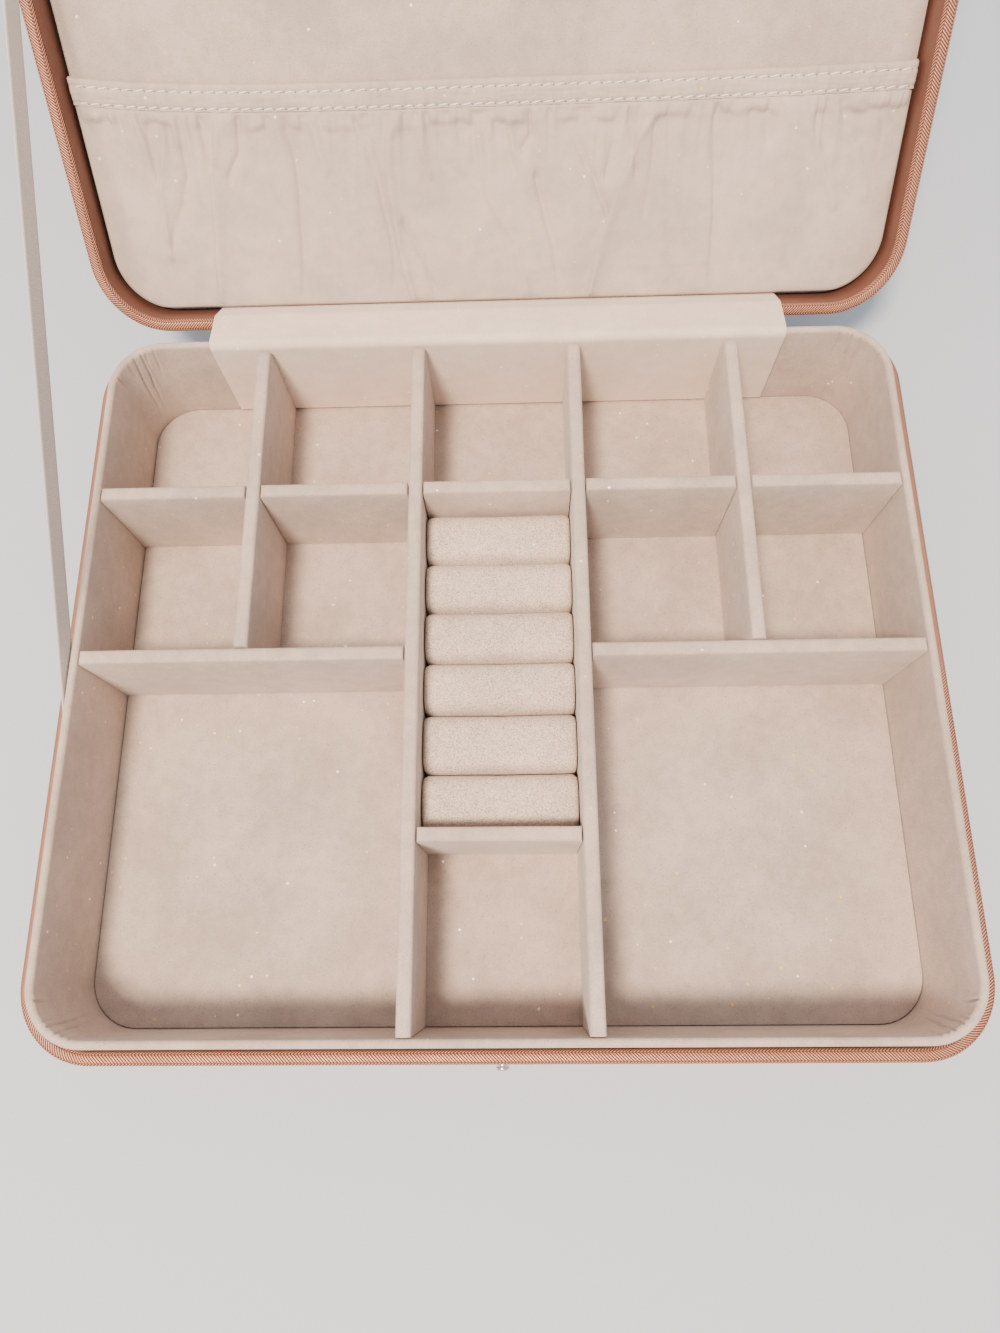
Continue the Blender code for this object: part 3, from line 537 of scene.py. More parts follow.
def strip(length, width, lengthSteps, widthSteps, place):
    # A flat grid laid along a path: place gives the point for a distance along and across
    bm = bmesh.new()
    bm.loops.layers.uv.new("wrap")
    bmesh.ops.create_grid(bm, x_segments=lengthSteps, y_segments=widthSteps, size=0.5, calc_uvs=True)
    wrap = bm.loops.layers.uv.active
    for face in bm.faces:
        for loop in face.loops:
            loop[wrap].uv = ((loop.vert.co.x + 0.5) * length, (loop.vert.co.y + 0.5) * width)
    for vert in bm.verts:
        vert.co = place((vert.co.x + 0.5) * length, (vert.co.y + 0.5) * width)
    return bm


def thicken(piece, thickness, rounding=0.0):
    # Cloth thickness and soft edges, applied to the mesh
    solid = piece.modifiers.new("thickness", "SOLIDIFY")
    solid.thickness = thickness
    solid.offset = 0
    if rounding:
        soft = piece.modifiers.new("edges", "BEVEL")
        soft.width = rounding
        soft.segments = 2
        soft.limit_method = "ANGLE"
        soft.angle_limit = math.radians(60)
    applyModifiers(piece)


def applyModifiers(piece):
    graph = bpy.context.evaluated_depsgraph_get()
    finished = bpy.data.meshes.new_from_object(piece.evaluated_get(graph))
    old = piece.data
    piece.modifiers.clear()
    piece.data = finished
    bpy.data.meshes.remove(old)
    finished.name = piece.name


def pathWalker(points):
    # Turns a list of points into a function of the distance along it
    points = [Vector(point) for point in points]
    marks = [0.0]
    for first, second in zip(points, points[1:]):
        marks.append(marks[-1] + (second - first).length)

    def walk(distance):
        distance = min(max(distance, 0), marks[-1])
        k = 0
        while k < len(marks) - 2 and marks[k + 1] < distance:
            k += 1
        share = (distance - marks[k]) / (marks[k + 1] - marks[k])
        return points[k].lerp(points[k + 1], share)

    return walk, marks[-1]


# Camera: the photograph's own place and lens

cameraValues = {
    "place": (0.0070, -0.0777, 0.2712),
    "turn": (17.21, 1.71, -0.42),
    "lens": 24.58,
    "sensor": 36,
    "nearest": 5 * mm,
}
camera = bpy.data.objects.new("camera", bpy.data.cameras.new("camera"))
bpy.context.scene.collection.objects.link(camera)
camera.location = cameraValues["place"]
camera.rotation_euler = [math.radians(angle) for angle in cameraValues["turn"]]
camera.data.lens = cameraValues["lens"]
camera.data.sensor_width = cameraValues["sensor"]
camera.data.clip_start = cameraValues["nearest"]
bpy.context.scene.camera = camera


# Base cover

def makeCaseCover():
    values = {"hem": 5.5 * mm, "edge": 1.2 * mm, "turnIn": 7.5 * mm, "cornerSteps": 20,
              "rimBand": 3 * mm, "wave": 0.07 * mm, "waveSize": 22 * mm}
    rim = caseShape["rimRadius"]
    top = caseShape["rimTop"]
    low = caseShape["hemHeight"]
    cover = caseShape["cover"]
    wall = caseShape["wall"]
    section = [(values["hem"], low)]
    section += arc((values["edge"], low + values["edge"]), values["edge"], 270, 180, 5)
    section += arc((rim, top - rim), rim, 180, 90, 6)
    section += arc((wall - rim, top - rim), rim, 90, 0, 6)
    section += [
        (wall, top - values["turnIn"]),
        (wall - cover, top - values["turnIn"]),
        (wall - cover, top - cover),
        (cover, top - cover),
        (cover, low + cover),
        (values["hem"], low + cover),
    ]
    bm = sweepRound(section, values["cornerSteps"])
    # The cover was pulled on by hand, so its rim isn't dead straight
    for vert in bm.verts:
        if vert.co.z > top - values["rimBand"]:
            vert.co.z += values["wave"] * ripple((vert.co.x, vert.co.y, 0), values["waveSize"])
    closeShell(bm)
    return makePiece("caseCover", bm, "copperBraid", "base", ["base_wrap"])


# Tray: liner, floor and dividers

linerValues = {
    "thickness": 2.2 * mm,
    "cornerSteps": 64,
    "sideStep": 2.6 * mm,
    "wallSteps": 30,
    "wave": 0.18 * mm,
    "waveSize": 14 * mm,
    # The wave grows in below the lip and dies out towards the floor
    "waveFrom": 4 * mm,
    "calmFrom": 26 * mm,
    "calmOver": 6 * mm,
    "lipWave": 0.10 * mm,
    "lipWaveSize": 17 * mm,
    "lipBand": 3 * mm,
    # Wrinkles round each corner: (share of the corner, depth, drop down the wall, lean)
    "wrinkles": [
        (0.17, 0.55 * mm, 18 * mm, 0.12),
        (0.27, 0.45 * mm, 13 * mm, 0.18),
        (0.34, 0.80 * mm, 30 * mm, 0.12),
        (0.47, 0.70 * mm, 34 * mm, 0.09),
        (0.56, 0.35 * mm, 10 * mm, 0.05),
        (0.82, 0.75 * mm, 9 * mm, -0.12),
    ],
    "wrinkleWidth": 0.46 * mm,
    "wrinkleWaver": 0.8 * mm,
    "wrinkleMost": 1.0 * mm,
    "wrinkleReach": 3 * mm,
    "waverSize": 6 * mm,
    "fadeIn": 1.6 * mm,
}


def makeTrayLiner():
    values = linerValues
    low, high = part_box("base_liner")
    inset = caseShape["width"] / 2 - high.x
    half = values["thickness"] / 2
    lip = high.z - half
    section = [(inset, low.z)]
    section += arc((inset + half, lip), half, 180, 0, 10)
    for k in range(1, values["wallSteps"] + 1):
        share = (k / values["wallSteps"]) ** 1.2
        section.append((inset + values["thickness"], lip - (lip - low.z) * share))
    bm = sweepRound(section, values["cornerSteps"], values["sideStep"])
    quarter = caseShape["corner"] * math.pi / 2
    corners = [caseShape["halfX"]]
    for side in ("halfY", "halfX", "halfY"):
        corners.append(corners[-1] + quarter + 2 * caseShape[side])
    for vert in bm.verts:
        way, out = wayRound(vert.co)
        depth = high.z - vert.co.z
        if isInnerSide(vert.co, inset + half):
            soft = ripple((way, vert.co.z * 0.6, 0), values["waveSize"], 2.0)
            calm = 1 - ease((depth - values["calmFrom"]) / values["calmOver"])
            vert.co -= out * values["wave"] * soft * ease(depth / values["waveFrom"]) * calm
            # Corner wrinkles run down from the lip, where the cloth has too much length
            for number, corner in enumerate(corners):
                share = (way - corner) / quarter
                if -0.2 < share < 1.2:
                    share = share if number % 2 == 0 else 1 - share
                    vert.co += out * cornerWrinkle(share, depth, quarter, number)
        nearLip = ease((vert.co.z - lip + values["lipBand"]) / values["lipBand"])
        vert.co.z += values["lipWave"] * ripple((way, 0, 0), values["lipWaveSize"], 5.0) * nearLip
    closeShell(bm)
    return makePiece("trayLiner", bm, "trayVelvet", "base", ["base_liner"], sharp=60)


def isInnerSide(point, middle):
    # True on the tray's side of the liner's middle line
    nearX, nearY = nearCore(point)
    reach = Vector((point.x - nearX, point.y - nearY)).length
    return caseShape["corner"] - reach > middle


def cornerWrinkle(share, depth, quarter, number):
    # How far the cloth is pressed back at a point of a corner
    values = linerValues
    width = values["wrinkleWidth"]
    deep = 0.0
    for start, tall, drop, lean in values["wrinkles"]:
        waver = values["wrinkleWaver"] * ripple((start * 9, depth / values["waverSize"], number), 1.0)
        away = (share - start + 0.03 * number) * quarter * 0.85 - lean * depth - waver
        fade = ease(depth / values["fadeIn"]) * (1 - ease((depth - 0.3 * drop) / (0.7 * drop)))
        if abs(away) < values["wrinkleReach"] and fade > 0:
            ridge = math.exp(-(away / (2.8 * width)) ** 2)
            deep += tall * fade * (math.exp(-(away / width) ** 2) - 0.4 * ridge)
    return min(deep, values["wrinkleMost"])


def makeTrayFloor():
    values = {"step": 3 * mm, "edge": 0.5 * mm, "swell": 0.09 * mm, "swellSize": 24 * mm}
    low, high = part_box("floor_pad")
    width, depth = high.x - low.x, high.y - low.y
    corner = caseShape["corner"] - (caseShape["width"] - width) / 2
    bm = roundedPlate(width, depth, corner, values["step"])
    bmesh.ops.translate(bm, verts=bm.verts, vec=(0, 0, high.z - values["edge"]))
    rimEdges = openEdges(bm)
    skirt = bmesh.ops.extrude_edge_only(bm, edges=rimEdges)["geom"]
    skirtVerts = [item for item in skirt if isinstance(item, bmesh.types.BMVert)]
    for vert in skirtVerts:
        vert.co.z = low.z
    outer = {vert for edge in rimEdges for vert in edge.verts}
    for vert in bm.verts:
        if vert not in outer and vert not in skirtVerts:
            vert.co.z = high.z - values["swell"] * (1 + ripple(vert.co, values["swellSize"], 4.0)) * 0.5
    bmesh.ops.edgeloop_fill(bm, edges=openEdges(bm))
    closeShell(bm)
    return makePiece("trayFloor", bm, "trayVelvet", "base", ["floor_pad"], sharp=60)


dividerValues = {
    "topRadius": 1.15 * mm,
    "backRadius": 2.2 * mm,
    "slice": 3 * mm,
    "rows": 7 * mm,
    "swell": 0.10 * mm,
    "sideSize": 16 * mm,
    "topSize": 21 * mm,
    "topBand": 0.2 * mm,
}


def sliceAcross(bm, low, high, axis, step):
    # Even cuts along a bar, so that it can bend softly
    normal = Vector([1 if k == axis else 0 for k in range(3)])
    cuts = max(1, round((high[axis] - low[axis]) / step))
    for k in range(1, cuts):
        middle = normal * (low[axis] + (high[axis] - low[axis]) * k / cuts)
        bmesh.ops.bisect_plane(bm, geom=bm.verts[:] + bm.edges[:] + bm.faces[:], dist=1e-7,
                               plane_co=middle, plane_no=normal)


def makeDivider(number, node, tilt=0.0):
    values = dividerValues
    low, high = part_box(node)
    size = high - low
    long = 1 if size.y > size.x else 0
    short = 1 - long
    bm = newBar(size, (low + high) / 2)
    top = [edge for edge in bm.edges if isAbove(edge, 2, high.z - hair)]
    if long == 1:
        # The back end is rounded off where it meets the hinge flap
        back = [edge for edge in top if isAbove(edge, 1, high.y - hair)]
        roundSelected(bm, back, values["backRadius"], 5, clamp=False)
        top = [edge for edge in bm.edges if isAbove(edge, 2, high.z - values["backRadius"] - hair)
               and edgeSpan(edge, short) < hair and isSharp(edge)]
    roundSelected(bm, top, values["topRadius"], 4, clamp=False)
    sliceAcross(bm, low, high, long, values["slice"])
    sliceAcross(bm, low, high, 2, values["rows"])
    for vert in bm.verts:
        side = math.copysign(1, vert.co[short] - (low[short] + high[short]) / 2)
        soft = ripple((vert.co.x, vert.co.y, vert.co.z * 0.7), values["sideSize"], number * 1.9)
        onTop = vert.co.z > high.z - values["topBand"]
        vert.co[short] -= side * values["swell"] * (0.5 + 0.5 * soft)
        if onTop:
            vert.co.z -= values["swell"] * (0.5 + 0.5 * ripple(vert.co, values["topSize"], number * 0.7))
    if tilt:
        bmesh.ops.rotate(bm, verts=bm.verts, cent=(low + high) / 2, matrix=Matrix.Rotation(tilt, 3, "Z"))
    closeShell(bm)
    return makePiece("divider_" + node, bm, "trayVelvet", "base", [node], sharp=50)


def makeTray():
    makeTrayLiner()
    makeTrayFloor()
    names = ["divider_long_left", "divider_long_right", "divider_short_left", "divider_short_right"]
    names += [f"cross_back_{k}" for k in range(1, 6)]
    names += ["cross_middle_left", "cross_middle_right"]
    for number, node in enumerate(names):
        makeDivider(number + 1, node)
    makeDivider(20, "ring_well_front", tilt=math.radians(-0.3))


# Ring rolls: foam wrapped in velvet, filled out by a short cloth simulation

rollValues = {
    "voxel": 1.0 * mm,
    "start": 0.10 * mm,
    "endReach": 0.2 * mm,
    "crown": 5.0 * mm,
    "endRound": 1.4 * mm,
    "most": 0.4 * mm,
    "pressure": 4.0,
    "frames": 16,
    "crownBand": 1 * mm,
    "fold": 0.10 * mm,
    "foldReach": 3 * mm,
    "dent": 0.10 * mm,
    "dentSize": 9 * mm,
    "dentAbove": 9 * mm,
}


def swellCloth(piece, values, low, high):
    # Remesh, inflate as cloth, hold each point within its cap and its box, then smooth once
    remesh = piece.modifiers.new("even", "REMESH")
    remesh.mode = "VOXEL"
    remesh.voxel_size = values["voxel"]
    applyModifiers(piece)
    before = [vert.co.copy() for vert in piece.data.vertices]
    cloth = piece.modifiers.new("cloth", "CLOTH")
    cloth.settings.use_pressure = True
    cloth.settings.uniform_pressure_force = values["pressure"]
    cloth.settings.effector_weights.gravity = 0
    scene = bpy.context.scene
    for number in range(1, values["frames"] + 1):
        scene.frame_set(number)
    applyModifiers(piece)
    scene.frame_set(1)
    for vert, start in zip(piece.data.vertices, before):
        move = vert.co - start
        if move.length > values["most"]:
            vert.co = start + move.normalized() * values["most"]
        for k in range(3):
            vert.co[k] = min(max(vert.co[k], low[k]), high[k])
    smooth = piece.modifiers.new("smooth", "SUBSURF")
    smooth.levels = 1
    smooth.render_levels = 1
    applyModifiers(piece)
    piece.data.shade_smooth()


def makeRingRoll(number):
    values = rollValues
    low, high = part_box(f"ring_roll_{number}")
    # The foam's ends press against the dividers
    low.x -= values["endReach"]
    high.x += values["endReach"]
    size = high - low - 2 * Vector((0, values["start"], 0))
    size.z -= values["start"]
    bm = newBar(size, ((low.x + high.x) / 2, (low.y + high.y) / 2, low.z + size.z / 2))
    crown = [edge for edge in bm.edges if isAbove(edge, 2, high.z - values["crownBand"])
             and edgeSpan(edge, 0) > size.x / 2]
    roundSelected(bm, crown, values["crown"], 8)
    ends = [edge for edge in bm.edges if edgeSpan(edge, 0) < hair
            and abs(abs(edge.verts[0].co.x) - size.x / 2) < hair
            and max(vert.co.z for vert in edge.verts) > low.z + values["crownBand"]]
    roundSelected(bm, ends, values["endRound"], 4)
    closeShell(bm)
    piece = makePiece(f"ringRoll_{number}", bm, "rollVelvet")
    swellCloth(piece, values, low, high)
    # Small dents and the drawn-in folds at each end
    for vert in piece.data.vertices:
        fromEnd = size.x / 2 - abs(vert.co.x)
        fold = math.sin(vert.co.z * 2100 + vert.co.y * 1500 + number) * values["fold"]
        vert.co.x -= math.copysign(fold * (1 - ease(fromEnd / values["foldReach"])), vert.co.x)
        if vert.co.z > low.z + values["dentAbove"]:
            vert.co.z -= values["dent"] * (1 + ripple(vert.co, values["dentSize"], number * 2.3))
    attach(piece, "base")
    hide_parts(f"ring_roll_{number}")
    return piece


# Lid covers, in the closed lid's frame: z is 0 at its rim and grows into it

lidLow, lidHigh = lidBox("lid_wrap")
lidCentre = (lidLow.y + lidHigh.y) / 2
lidPlace = lidMatrix @ Matrix.Translation((0, lidCentre, 0))


def makeLidCover():
    values = {"edge": 2.6 * mm, "turnIn": 1.3 * mm, "cornerSteps": 20}
    rim = caseShape["rimRadius"]
    cover = caseShape["cover"]
    wall = caseShape["wall"]
    edge = values["edge"]
    top = lidHigh.z
    section = arc((edge, top - edge), edge - cover, 90, 180, 6)
    section += [(cover, cover), (wall - cover, cover)]
    section += [(wall - cover, values["turnIn"]), (wall, values["turnIn"])]
    section += arc((wall - rim, rim), rim, 0, -90, 6)[1:]
    section += arc((rim, rim), rim, 270, 180, 6)
    section += arc((edge, top - edge), edge, 180, 90, 8)
    bm = sweepRound(section, values["cornerSteps"], closed=False)
    wrap = bm.loops.layers.uv["wrap"]
    panel = bmesh.ops.edgeloop_fill(bm, edges=openEdges(bm))["faces"]
    for face in panel:
        for loop in face.loops:
            loop[wrap].uv = (loop.vert.co.x, loop.vert.co.y)
    closeShell(bm)
    return makePiece("lidCover", bm, "copperBraid", "lid", ["lid_wrap"], lidPlace)


def makeLidBand():
    values = {"edge": 0.15 * mm, "cornerSteps": 24}
    low, high = lidBox("lid_wall_band")
    wall = caseShape["wall"]
    cover = caseShape["cover"]
    edge = values["edge"]
    section = [(wall, high.z), (wall - cover, high.z), (wall - cover, low.z)]
    section += arc((wall - edge, low.z + edge), edge, 270, 360, 3)
    bm = sweepRound(section, values["cornerSteps"])
    closeShell(bm)
    return makePiece("lidBand", bm, "copperSatin", "lid", ["lid_wall_band"], lidPlace)


# Lid pad

padLow, padHigh = lidBox("lid_pad")
padValues = {
    "width": padHigh.x - padLow.x,
    # The foot swells a little towards the hinge flap
    "depth": padHigh.y - padLow.y + 0.4 * mm,
    "corner": caseShape["corner"] - 4.4 * mm,
    "edge": 1.0 * mm,
    "crown": 0.6 * mm,
    "crownReach": 45 * mm,
    "face": padLow.z + 0.6 * mm,
    "step": 2.2 * mm,
    # Two rings near the edge follow its rounding
    "firstRing": 0.25 * mm,
    "secondRing": 0.5 * mm,
    "wave": 0.07 * mm,
    "waveSize": 28 * mm,
    "calmEdge": 6 * mm,
}
padCentre = (padLow.y + padHigh.y) / 2 + 0.2 * mm
padPlace = lidMatrix @ Matrix.Translation((0, padCentre, 0))


def padEdgeDistance(x, y):
    halfX, halfY = padValues["width"] / 2, padValues["depth"] / 2
    corner = padValues["corner"]
    over = Vector((max(abs(x) - halfX + corner, 0), max(abs(y) - halfY + corner, 0)))
    inner = min(max(abs(x) - halfX, abs(y) - halfY) + corner, 0)
    return corner - over.length - inner


def padFace(x, y):
    # Height of the pad's face: a low crown, rounded off at its edge
    inset = padEdgeDistance(x, y)
    share = min(max(inset, 0) / padValues["crownReach"], 1)
    crown = padValues["crown"] * share * (2 - share)
    short = max(padValues["edge"] - inset, 0)
    drop = padValues["edge"] - math.sqrt(max(padValues["edge"] ** 2 - short ** 2, 0))
    return padValues["face"] + drop - crown


def padHalfWidth(y):
    into = max(abs(y) - padValues["depth"] / 2 + padValues["corner"], 0)
    bend = math.sqrt(max(padValues["corner"] ** 2 - into ** 2, 0))
    return padValues["width"] / 2 - padValues["corner"] + bend


def makeLidPad():
    values = padValues
    bm = roundedPlate(values["width"], values["depth"], values["corner"], values["step"])
    ring = bmesh.ops.inset_region(bm, faces=bm.faces[:], thickness=values["firstRing"], use_even_offset=True)
    ringFaces = set(ring["faces"])
    rest = [face for face in bm.faces if face not in ringFaces]
    bmesh.ops.inset_region(bm, faces=rest, thickness=values["secondRing"], use_even_offset=True)
    for vert in bm.verts:
        vert.co.z = padFace(vert.co.x, vert.co.y)
        calm = ease(padEdgeDistance(vert.co.x, vert.co.y) / values["calmEdge"])
        vert.co.z += values["wave"] * ripple(vert.co, values["waveSize"], 6.0) * calm
    skirt = bmesh.ops.extrude_edge_only(bm, edges=openEdges(bm))["geom"]
    for item in skirt:
        if isinstance(item, bmesh.types.BMVert):
            item.co.z = padHigh.z
    bmesh.ops.edgeloop_fill(bm, edges=openEdges(bm))
    closeShell(bm)
    piece = makePiece("lidPad", bm, "padVelvet", "lid", ["lid_pad"], padPlace, sharp=60)
    return piece


# Pocket: cloth gathered on its elastic, with pressed creases

pocketValues = {
    "height": 51.9 * mm,
    "edge": 0.1 * mm,
    "cloth": 0.5 * mm,
    "puff": 1.2 * mm,
    "seamLift": 1.45 * mm,
    "columns": 560,
    "rows": 74,
    "leftRise": 3.4 * mm,
    "rightRise": 0.9 * mm,
    "creaseGain": 2.8,
    "creaseReach": 9,
    "overlap": 0.25 * mm,
    # How far in from each edge the relief has died out
    "seamSoft": 1.1 * mm,
    "sideSoft": 2 * mm,
    "footSoft": 2.2 * mm,
}
# The cloth's relief off the pad. All its lengths are in mm
pocketRelief = {
    "least": 0.32,
    "base": 0.30,
    # Broad swells: (height, size, seed)
    "swells": [(0.60, 15, 1.0), (0.40, 6, 2.0), (0.08, 2.6, 5.0)],
    # Where the full strip under the stitches ends, how much that varies, and how soft it is
    "stripDrop": 2.4,
    "stripVary": 2.2,
    "stripSoft": 2.0,
    "hollow": 1.15,
    "pleat": 1.9,
    "pleatSize": 3.6,
    # Folds taller than this lean over: where it starts and how much more they can gain
    "softFrom": 1.7,
    "softGain": 0.9,
}
# Pressed creases: (height, half width, softness of the right side, places as (rise, across)), in mm
pocketCreases = {
    "leftEdge": (0.30, 1.6, 1.0, [(54, -106), (45, -108.5), (36, -110), (26, -109)]),
    "leftShort": (-0.50, 0.8, 1.6, [(52, -100), (44, -98.5), (36, -98)]),
    "leftLight": (0.45, 1.1, 1.0, [(54, -92.5), (46, -93.5), (33, -97.5), (16, -99)]),
    "leftBow": (-0.45, 1.3, 1.0, [(43, -89), (38, -88.5), (32, -91), (18, -98)]),
    "leftSlant": (-0.65, 0.7, 1.5, [(53, -83.5), (48, -82), (38, -81)]),
    "leftLong": (0.70, 0.8, 1.7, [(52, -76.5), (43, -79.5), (37, -81.5), (25, -83), (12, -85), (0, -86.5)]),
    "leftHook": (-0.70, 0.9, 1.2, [(53, -71.5), (43, -72.5), (36, -77)]),
    "insideLong": (-0.50, 1.2, 1.4, [(50, -58), (42, -57), (32, -57), (22, -58), (0, -60)]),
    "insideLight": (0.35, 1.2, 1.0, [(50, -51.5), (45, -50), (38, -48)]),
    "middleDark": (-0.80, 0.7, 1.3, [(49, -38.5), (45, -36), (40, -34.5), (32, -33), (15, -30.5),
                                      (0, -31.5)]),
    "middleLight": (0.80, 0.8, 1.3, [(50, -26.5), (45, -29.5), (38, -30), (18, -29), (10, -27.5),
                                      (0, -25.5)]),
    "middleSlant": (-0.45, 0.7, 1.4, [(23, -27), (17, -24), (10, -21), (0, -18)]),
    "middleShort": (0.40, 1.0, 1.2, [(48, -21), (42, -20), (36, -18)]),
    "centreFaint": (-0.22, 1.4, 1.2, [(38, -13), (34, -8), (28, -3)]),
    "centreLong": (0.45, 1.0, 1.3, [(46, -3.5), (38, -3), (29, -1), (16, 6.5), (0, 10)]),
    "centreThin": (0.50, 0.6, 1.5, [(49, 5), (42, 6), (33, 9)]),
    "rightCurve": (-0.80, 0.7, 1.4, [(34, 12.5), (24, 15), (15, 18), (0, 20.5)]),
    "rightTuck": (-0.70, 0.8, 1.3, [(50, 11), (45, 11), (42, 9)]),
    "veeLeft": (-0.80, 0.7, 1.4, [(47, 22), (38, 26.5), (32, 30), (24, 33.5)]),
    "veeRight": (0.85, 0.8, 1.6, [(50, 46), (43, 41.5), (38, 40), (30, 36.5), (15, 31.5), (0, 29)]),
    "veeInside": (-0.40, 1.2, 1.0, [(49, 35.5), (44, 35), (34, 33)]),
    "veeShort": (-0.55, 0.7, 1.3, [(49, 39), (41, 40.5), (35, 41.5)]),
    "rightShort": (-0.35, 0.8, 1.0, [(50, 49.5), (45, 47)]),
    "rightFaint": (-0.25, 1.0, 1.0, [(45, 46), (36, 46), (24, 44.5)]),
    "rightLong": (-0.75, 0.7, 1.8, [(49, 63.5), (38, 64), (33, 64.5), (20, 65.5), (0, 66.5)]),
    "rightThin": (-0.45, 0.7, 1.1, [(51, 77.5), (42, 78.5)]),
    "rightLight": (0.45, 1.1, 1.1, [(50, 87.5), (46, 89), (35, 95), (25, 100)]),
    "endDark": (-0.35, 1.2, 1.0, [(50, 97.5), (46, 99.5), (41, 104)]),
    "endLight": (0.30, 1.8, 1.0, [(46, 100.5), (39, 104.5), (27, 109)]),
}


def mouthRise(x):
    rise = pocketValues["leftRise"] if x < 0 else pocketValues["rightRise"]
    return rise * (x / (padValues["width"] / 2)) ** 4


def creaseAt(points, rise):
    # Where a crease crosses one height, and how strong it is there
    if rise > points[0][0] or rise < points[-1][0]:
        near = points[0] if rise > points[0][0] else points[-1]
        return near[1], max(0, 1 - abs(rise - near[0]) / 2.5)
    for (highRise, highX), (lowRise, lowX) in zip(points, points[1:]):
        if lowRise <= rise <= highRise:
            share = (highRise - rise) / (highRise - lowRise)
            return highX + (lowX - highX) * ease(share) * 0.5 + (lowX - highX) * share * 0.5, 1
    return points[-1][1], 0


def pocketLift(x, rise):
    # How far the cloth stands off the pad; x, rise and the answer are in mm
    values = pocketRelief
    height = pocketValues["height"] / mm
    up = min(max(rise / height, 0), 1)
    lift = values["base"] + pocketValues["puff"] / mm * math.sin(math.pi * up) ** 0.8 * (1 - (x / 117) ** 6)
    lift += sum(tall * ripple((x, rise * 0.5, 0), size, seed) for tall, size, seed in values["swells"])
    below = max(height - rise, 0)
    # A full strip hangs under the stitches; beneath it the cloth is drawn in, more in some places
    edge = values["stripDrop"] + values["stripVary"] * ripple((x, 5, 0), 7, 6.0)
    step = ease((below - edge) / values["stripSoft"])
    share = min(max(0.42 + 2.2 * ripple((x, 0, 0), 9, 3.0), 0.1), 1)
    full = 1 - step + step * (1 - share) * math.exp(-max(below - 3.9, 0) / 7)
    lift += values["hollow"] * (full - share * step * math.exp(-max(below - 4.5, 0) / 3.5))
    # Gathers hang from the stitches and die out below them
    reach = 8 + 10 * ripple((x, 9, 0), 9, 4.0)
    fade = math.exp(-below / max(reach, 1.8))
    lean = 0.12 * rise * ripple((x, 3, 0), 12, 2.0)
    pleat = ripple((x + lean, rise * 0.06, 0), values["pleatSize"], 7.0)
    small = ripple((x, rise * 0.15, 0), 1.3, 8.0)
    lift += fade * (values["pleat"] * (0.36 - min(abs(pleat) * 1.7, 0.8)) + 0.35 * small)
    return max(lift, values["least"])


def creaseLift(x, rise):
    # What the pressed creases add to that, with the faint line along the foot, in mm
    lift = 0
    for tall, width, softness, points in pocketCreases.values():
        crossing, strength = creaseAt(points, rise)
        side = x - crossing
        if strength > 0 and abs(side) < pocketValues["creaseReach"]:
            spread = width * (softness ** 1.5 if side > 0 else 1 / softness)
            lift += tall * pocketValues["creaseGain"] * strength * math.exp(-abs(side) / spread)
    press = math.exp(-((rise - 9.5 - 0.5 * ripple((x, 0, 0), 30, 2.0)) / 0.6) ** 2)
    lift += 0.22 * press * ease(2.2 * ripple((x, 0, 0), 15, 9.0) + 0.1)
    if x > 98:
        # The small pucker at the right end
        pucker = (rise - 48.0 + 0.42 * (x - 107)) / 0.55
        lift -= 1.1 * math.exp(-pucker * pucker) * ease((x - 102) / 4)
    return lift


def makePocket():
    values = pocketValues
    height = values["height"]
    least, soft, gain = [pocketRelief[key] for key in ("least", "softFrom", "softGain")]
    halfY = padValues["depth"] / 2

    def place(along, across):
        share = across / height
        rise = values["edge"] + (height + values["overlap"] - values["edge"]) * share
        half = padHalfWidth(halfY - rise) - values["edge"]
        x = (2 * along / padValues["width"] - 1) * half
        y = halfY - rise - mouthRise(x) * share ** 2
        lift = pocketLift(x / mm, rise / mm) + creaseLift(x / mm, rise / mm)
        nearSeam = ease(1 - (height - rise) / values["seamSoft"])
        lift += (values["seamLift"] / mm - lift) * nearSeam
        nearSide = ease((half - abs(x)) / values["sideSoft"])
        nearEdge = min(nearSide, ease(rise / values["footSoft"]))
        lift = least + (max(lift, least) - least) * nearEdge
        # Strong folds lean over softly instead of standing ever higher
        lift = lift if lift < soft else soft + gain * math.tanh((lift - soft) / gain)
        z = padFace(x, y) - (lift + values["cloth"] / mm / 2) * mm
        return Vector((x, y, z))

    bm = strip(padValues["width"], height, values["columns"], values["rows"], place)
    bmesh.ops.recalc_face_normals(bm, faces=bm.faces)
    piece = makePiece("pocketCloth", bm, "pocketVelvet", "lid", ["pocket_cloth"], padPlace,
                      sharp=180)
    thicken(piece, values["cloth"])
    return piece


bandValues = {
    "height": 6.8 * mm,
    "thickness": 2.0 * mm,
    "lowRow": 0.75 * mm,
    "highRow": 4.75 * mm,
    "pull": 0.30 * mm,
    "rowHalf": 0.38 * mm,
    "ruche": 0.32 * mm,
    "rucheSize": 1.5 * mm,
    "rucheFine": 0.8 * mm,
    "tuck": 0.22 * mm,
    "tuckSize": 0.7 * mm,
    "tuckBand": 1.3 * mm,
    "wander": 0.07 * mm,
    "wanderSize": 4 * mm,
    "foldRound": 0.7 * mm,
    "fold": 0.32 * mm,
    "frontSteps": 22,
    "columns": 560,
}


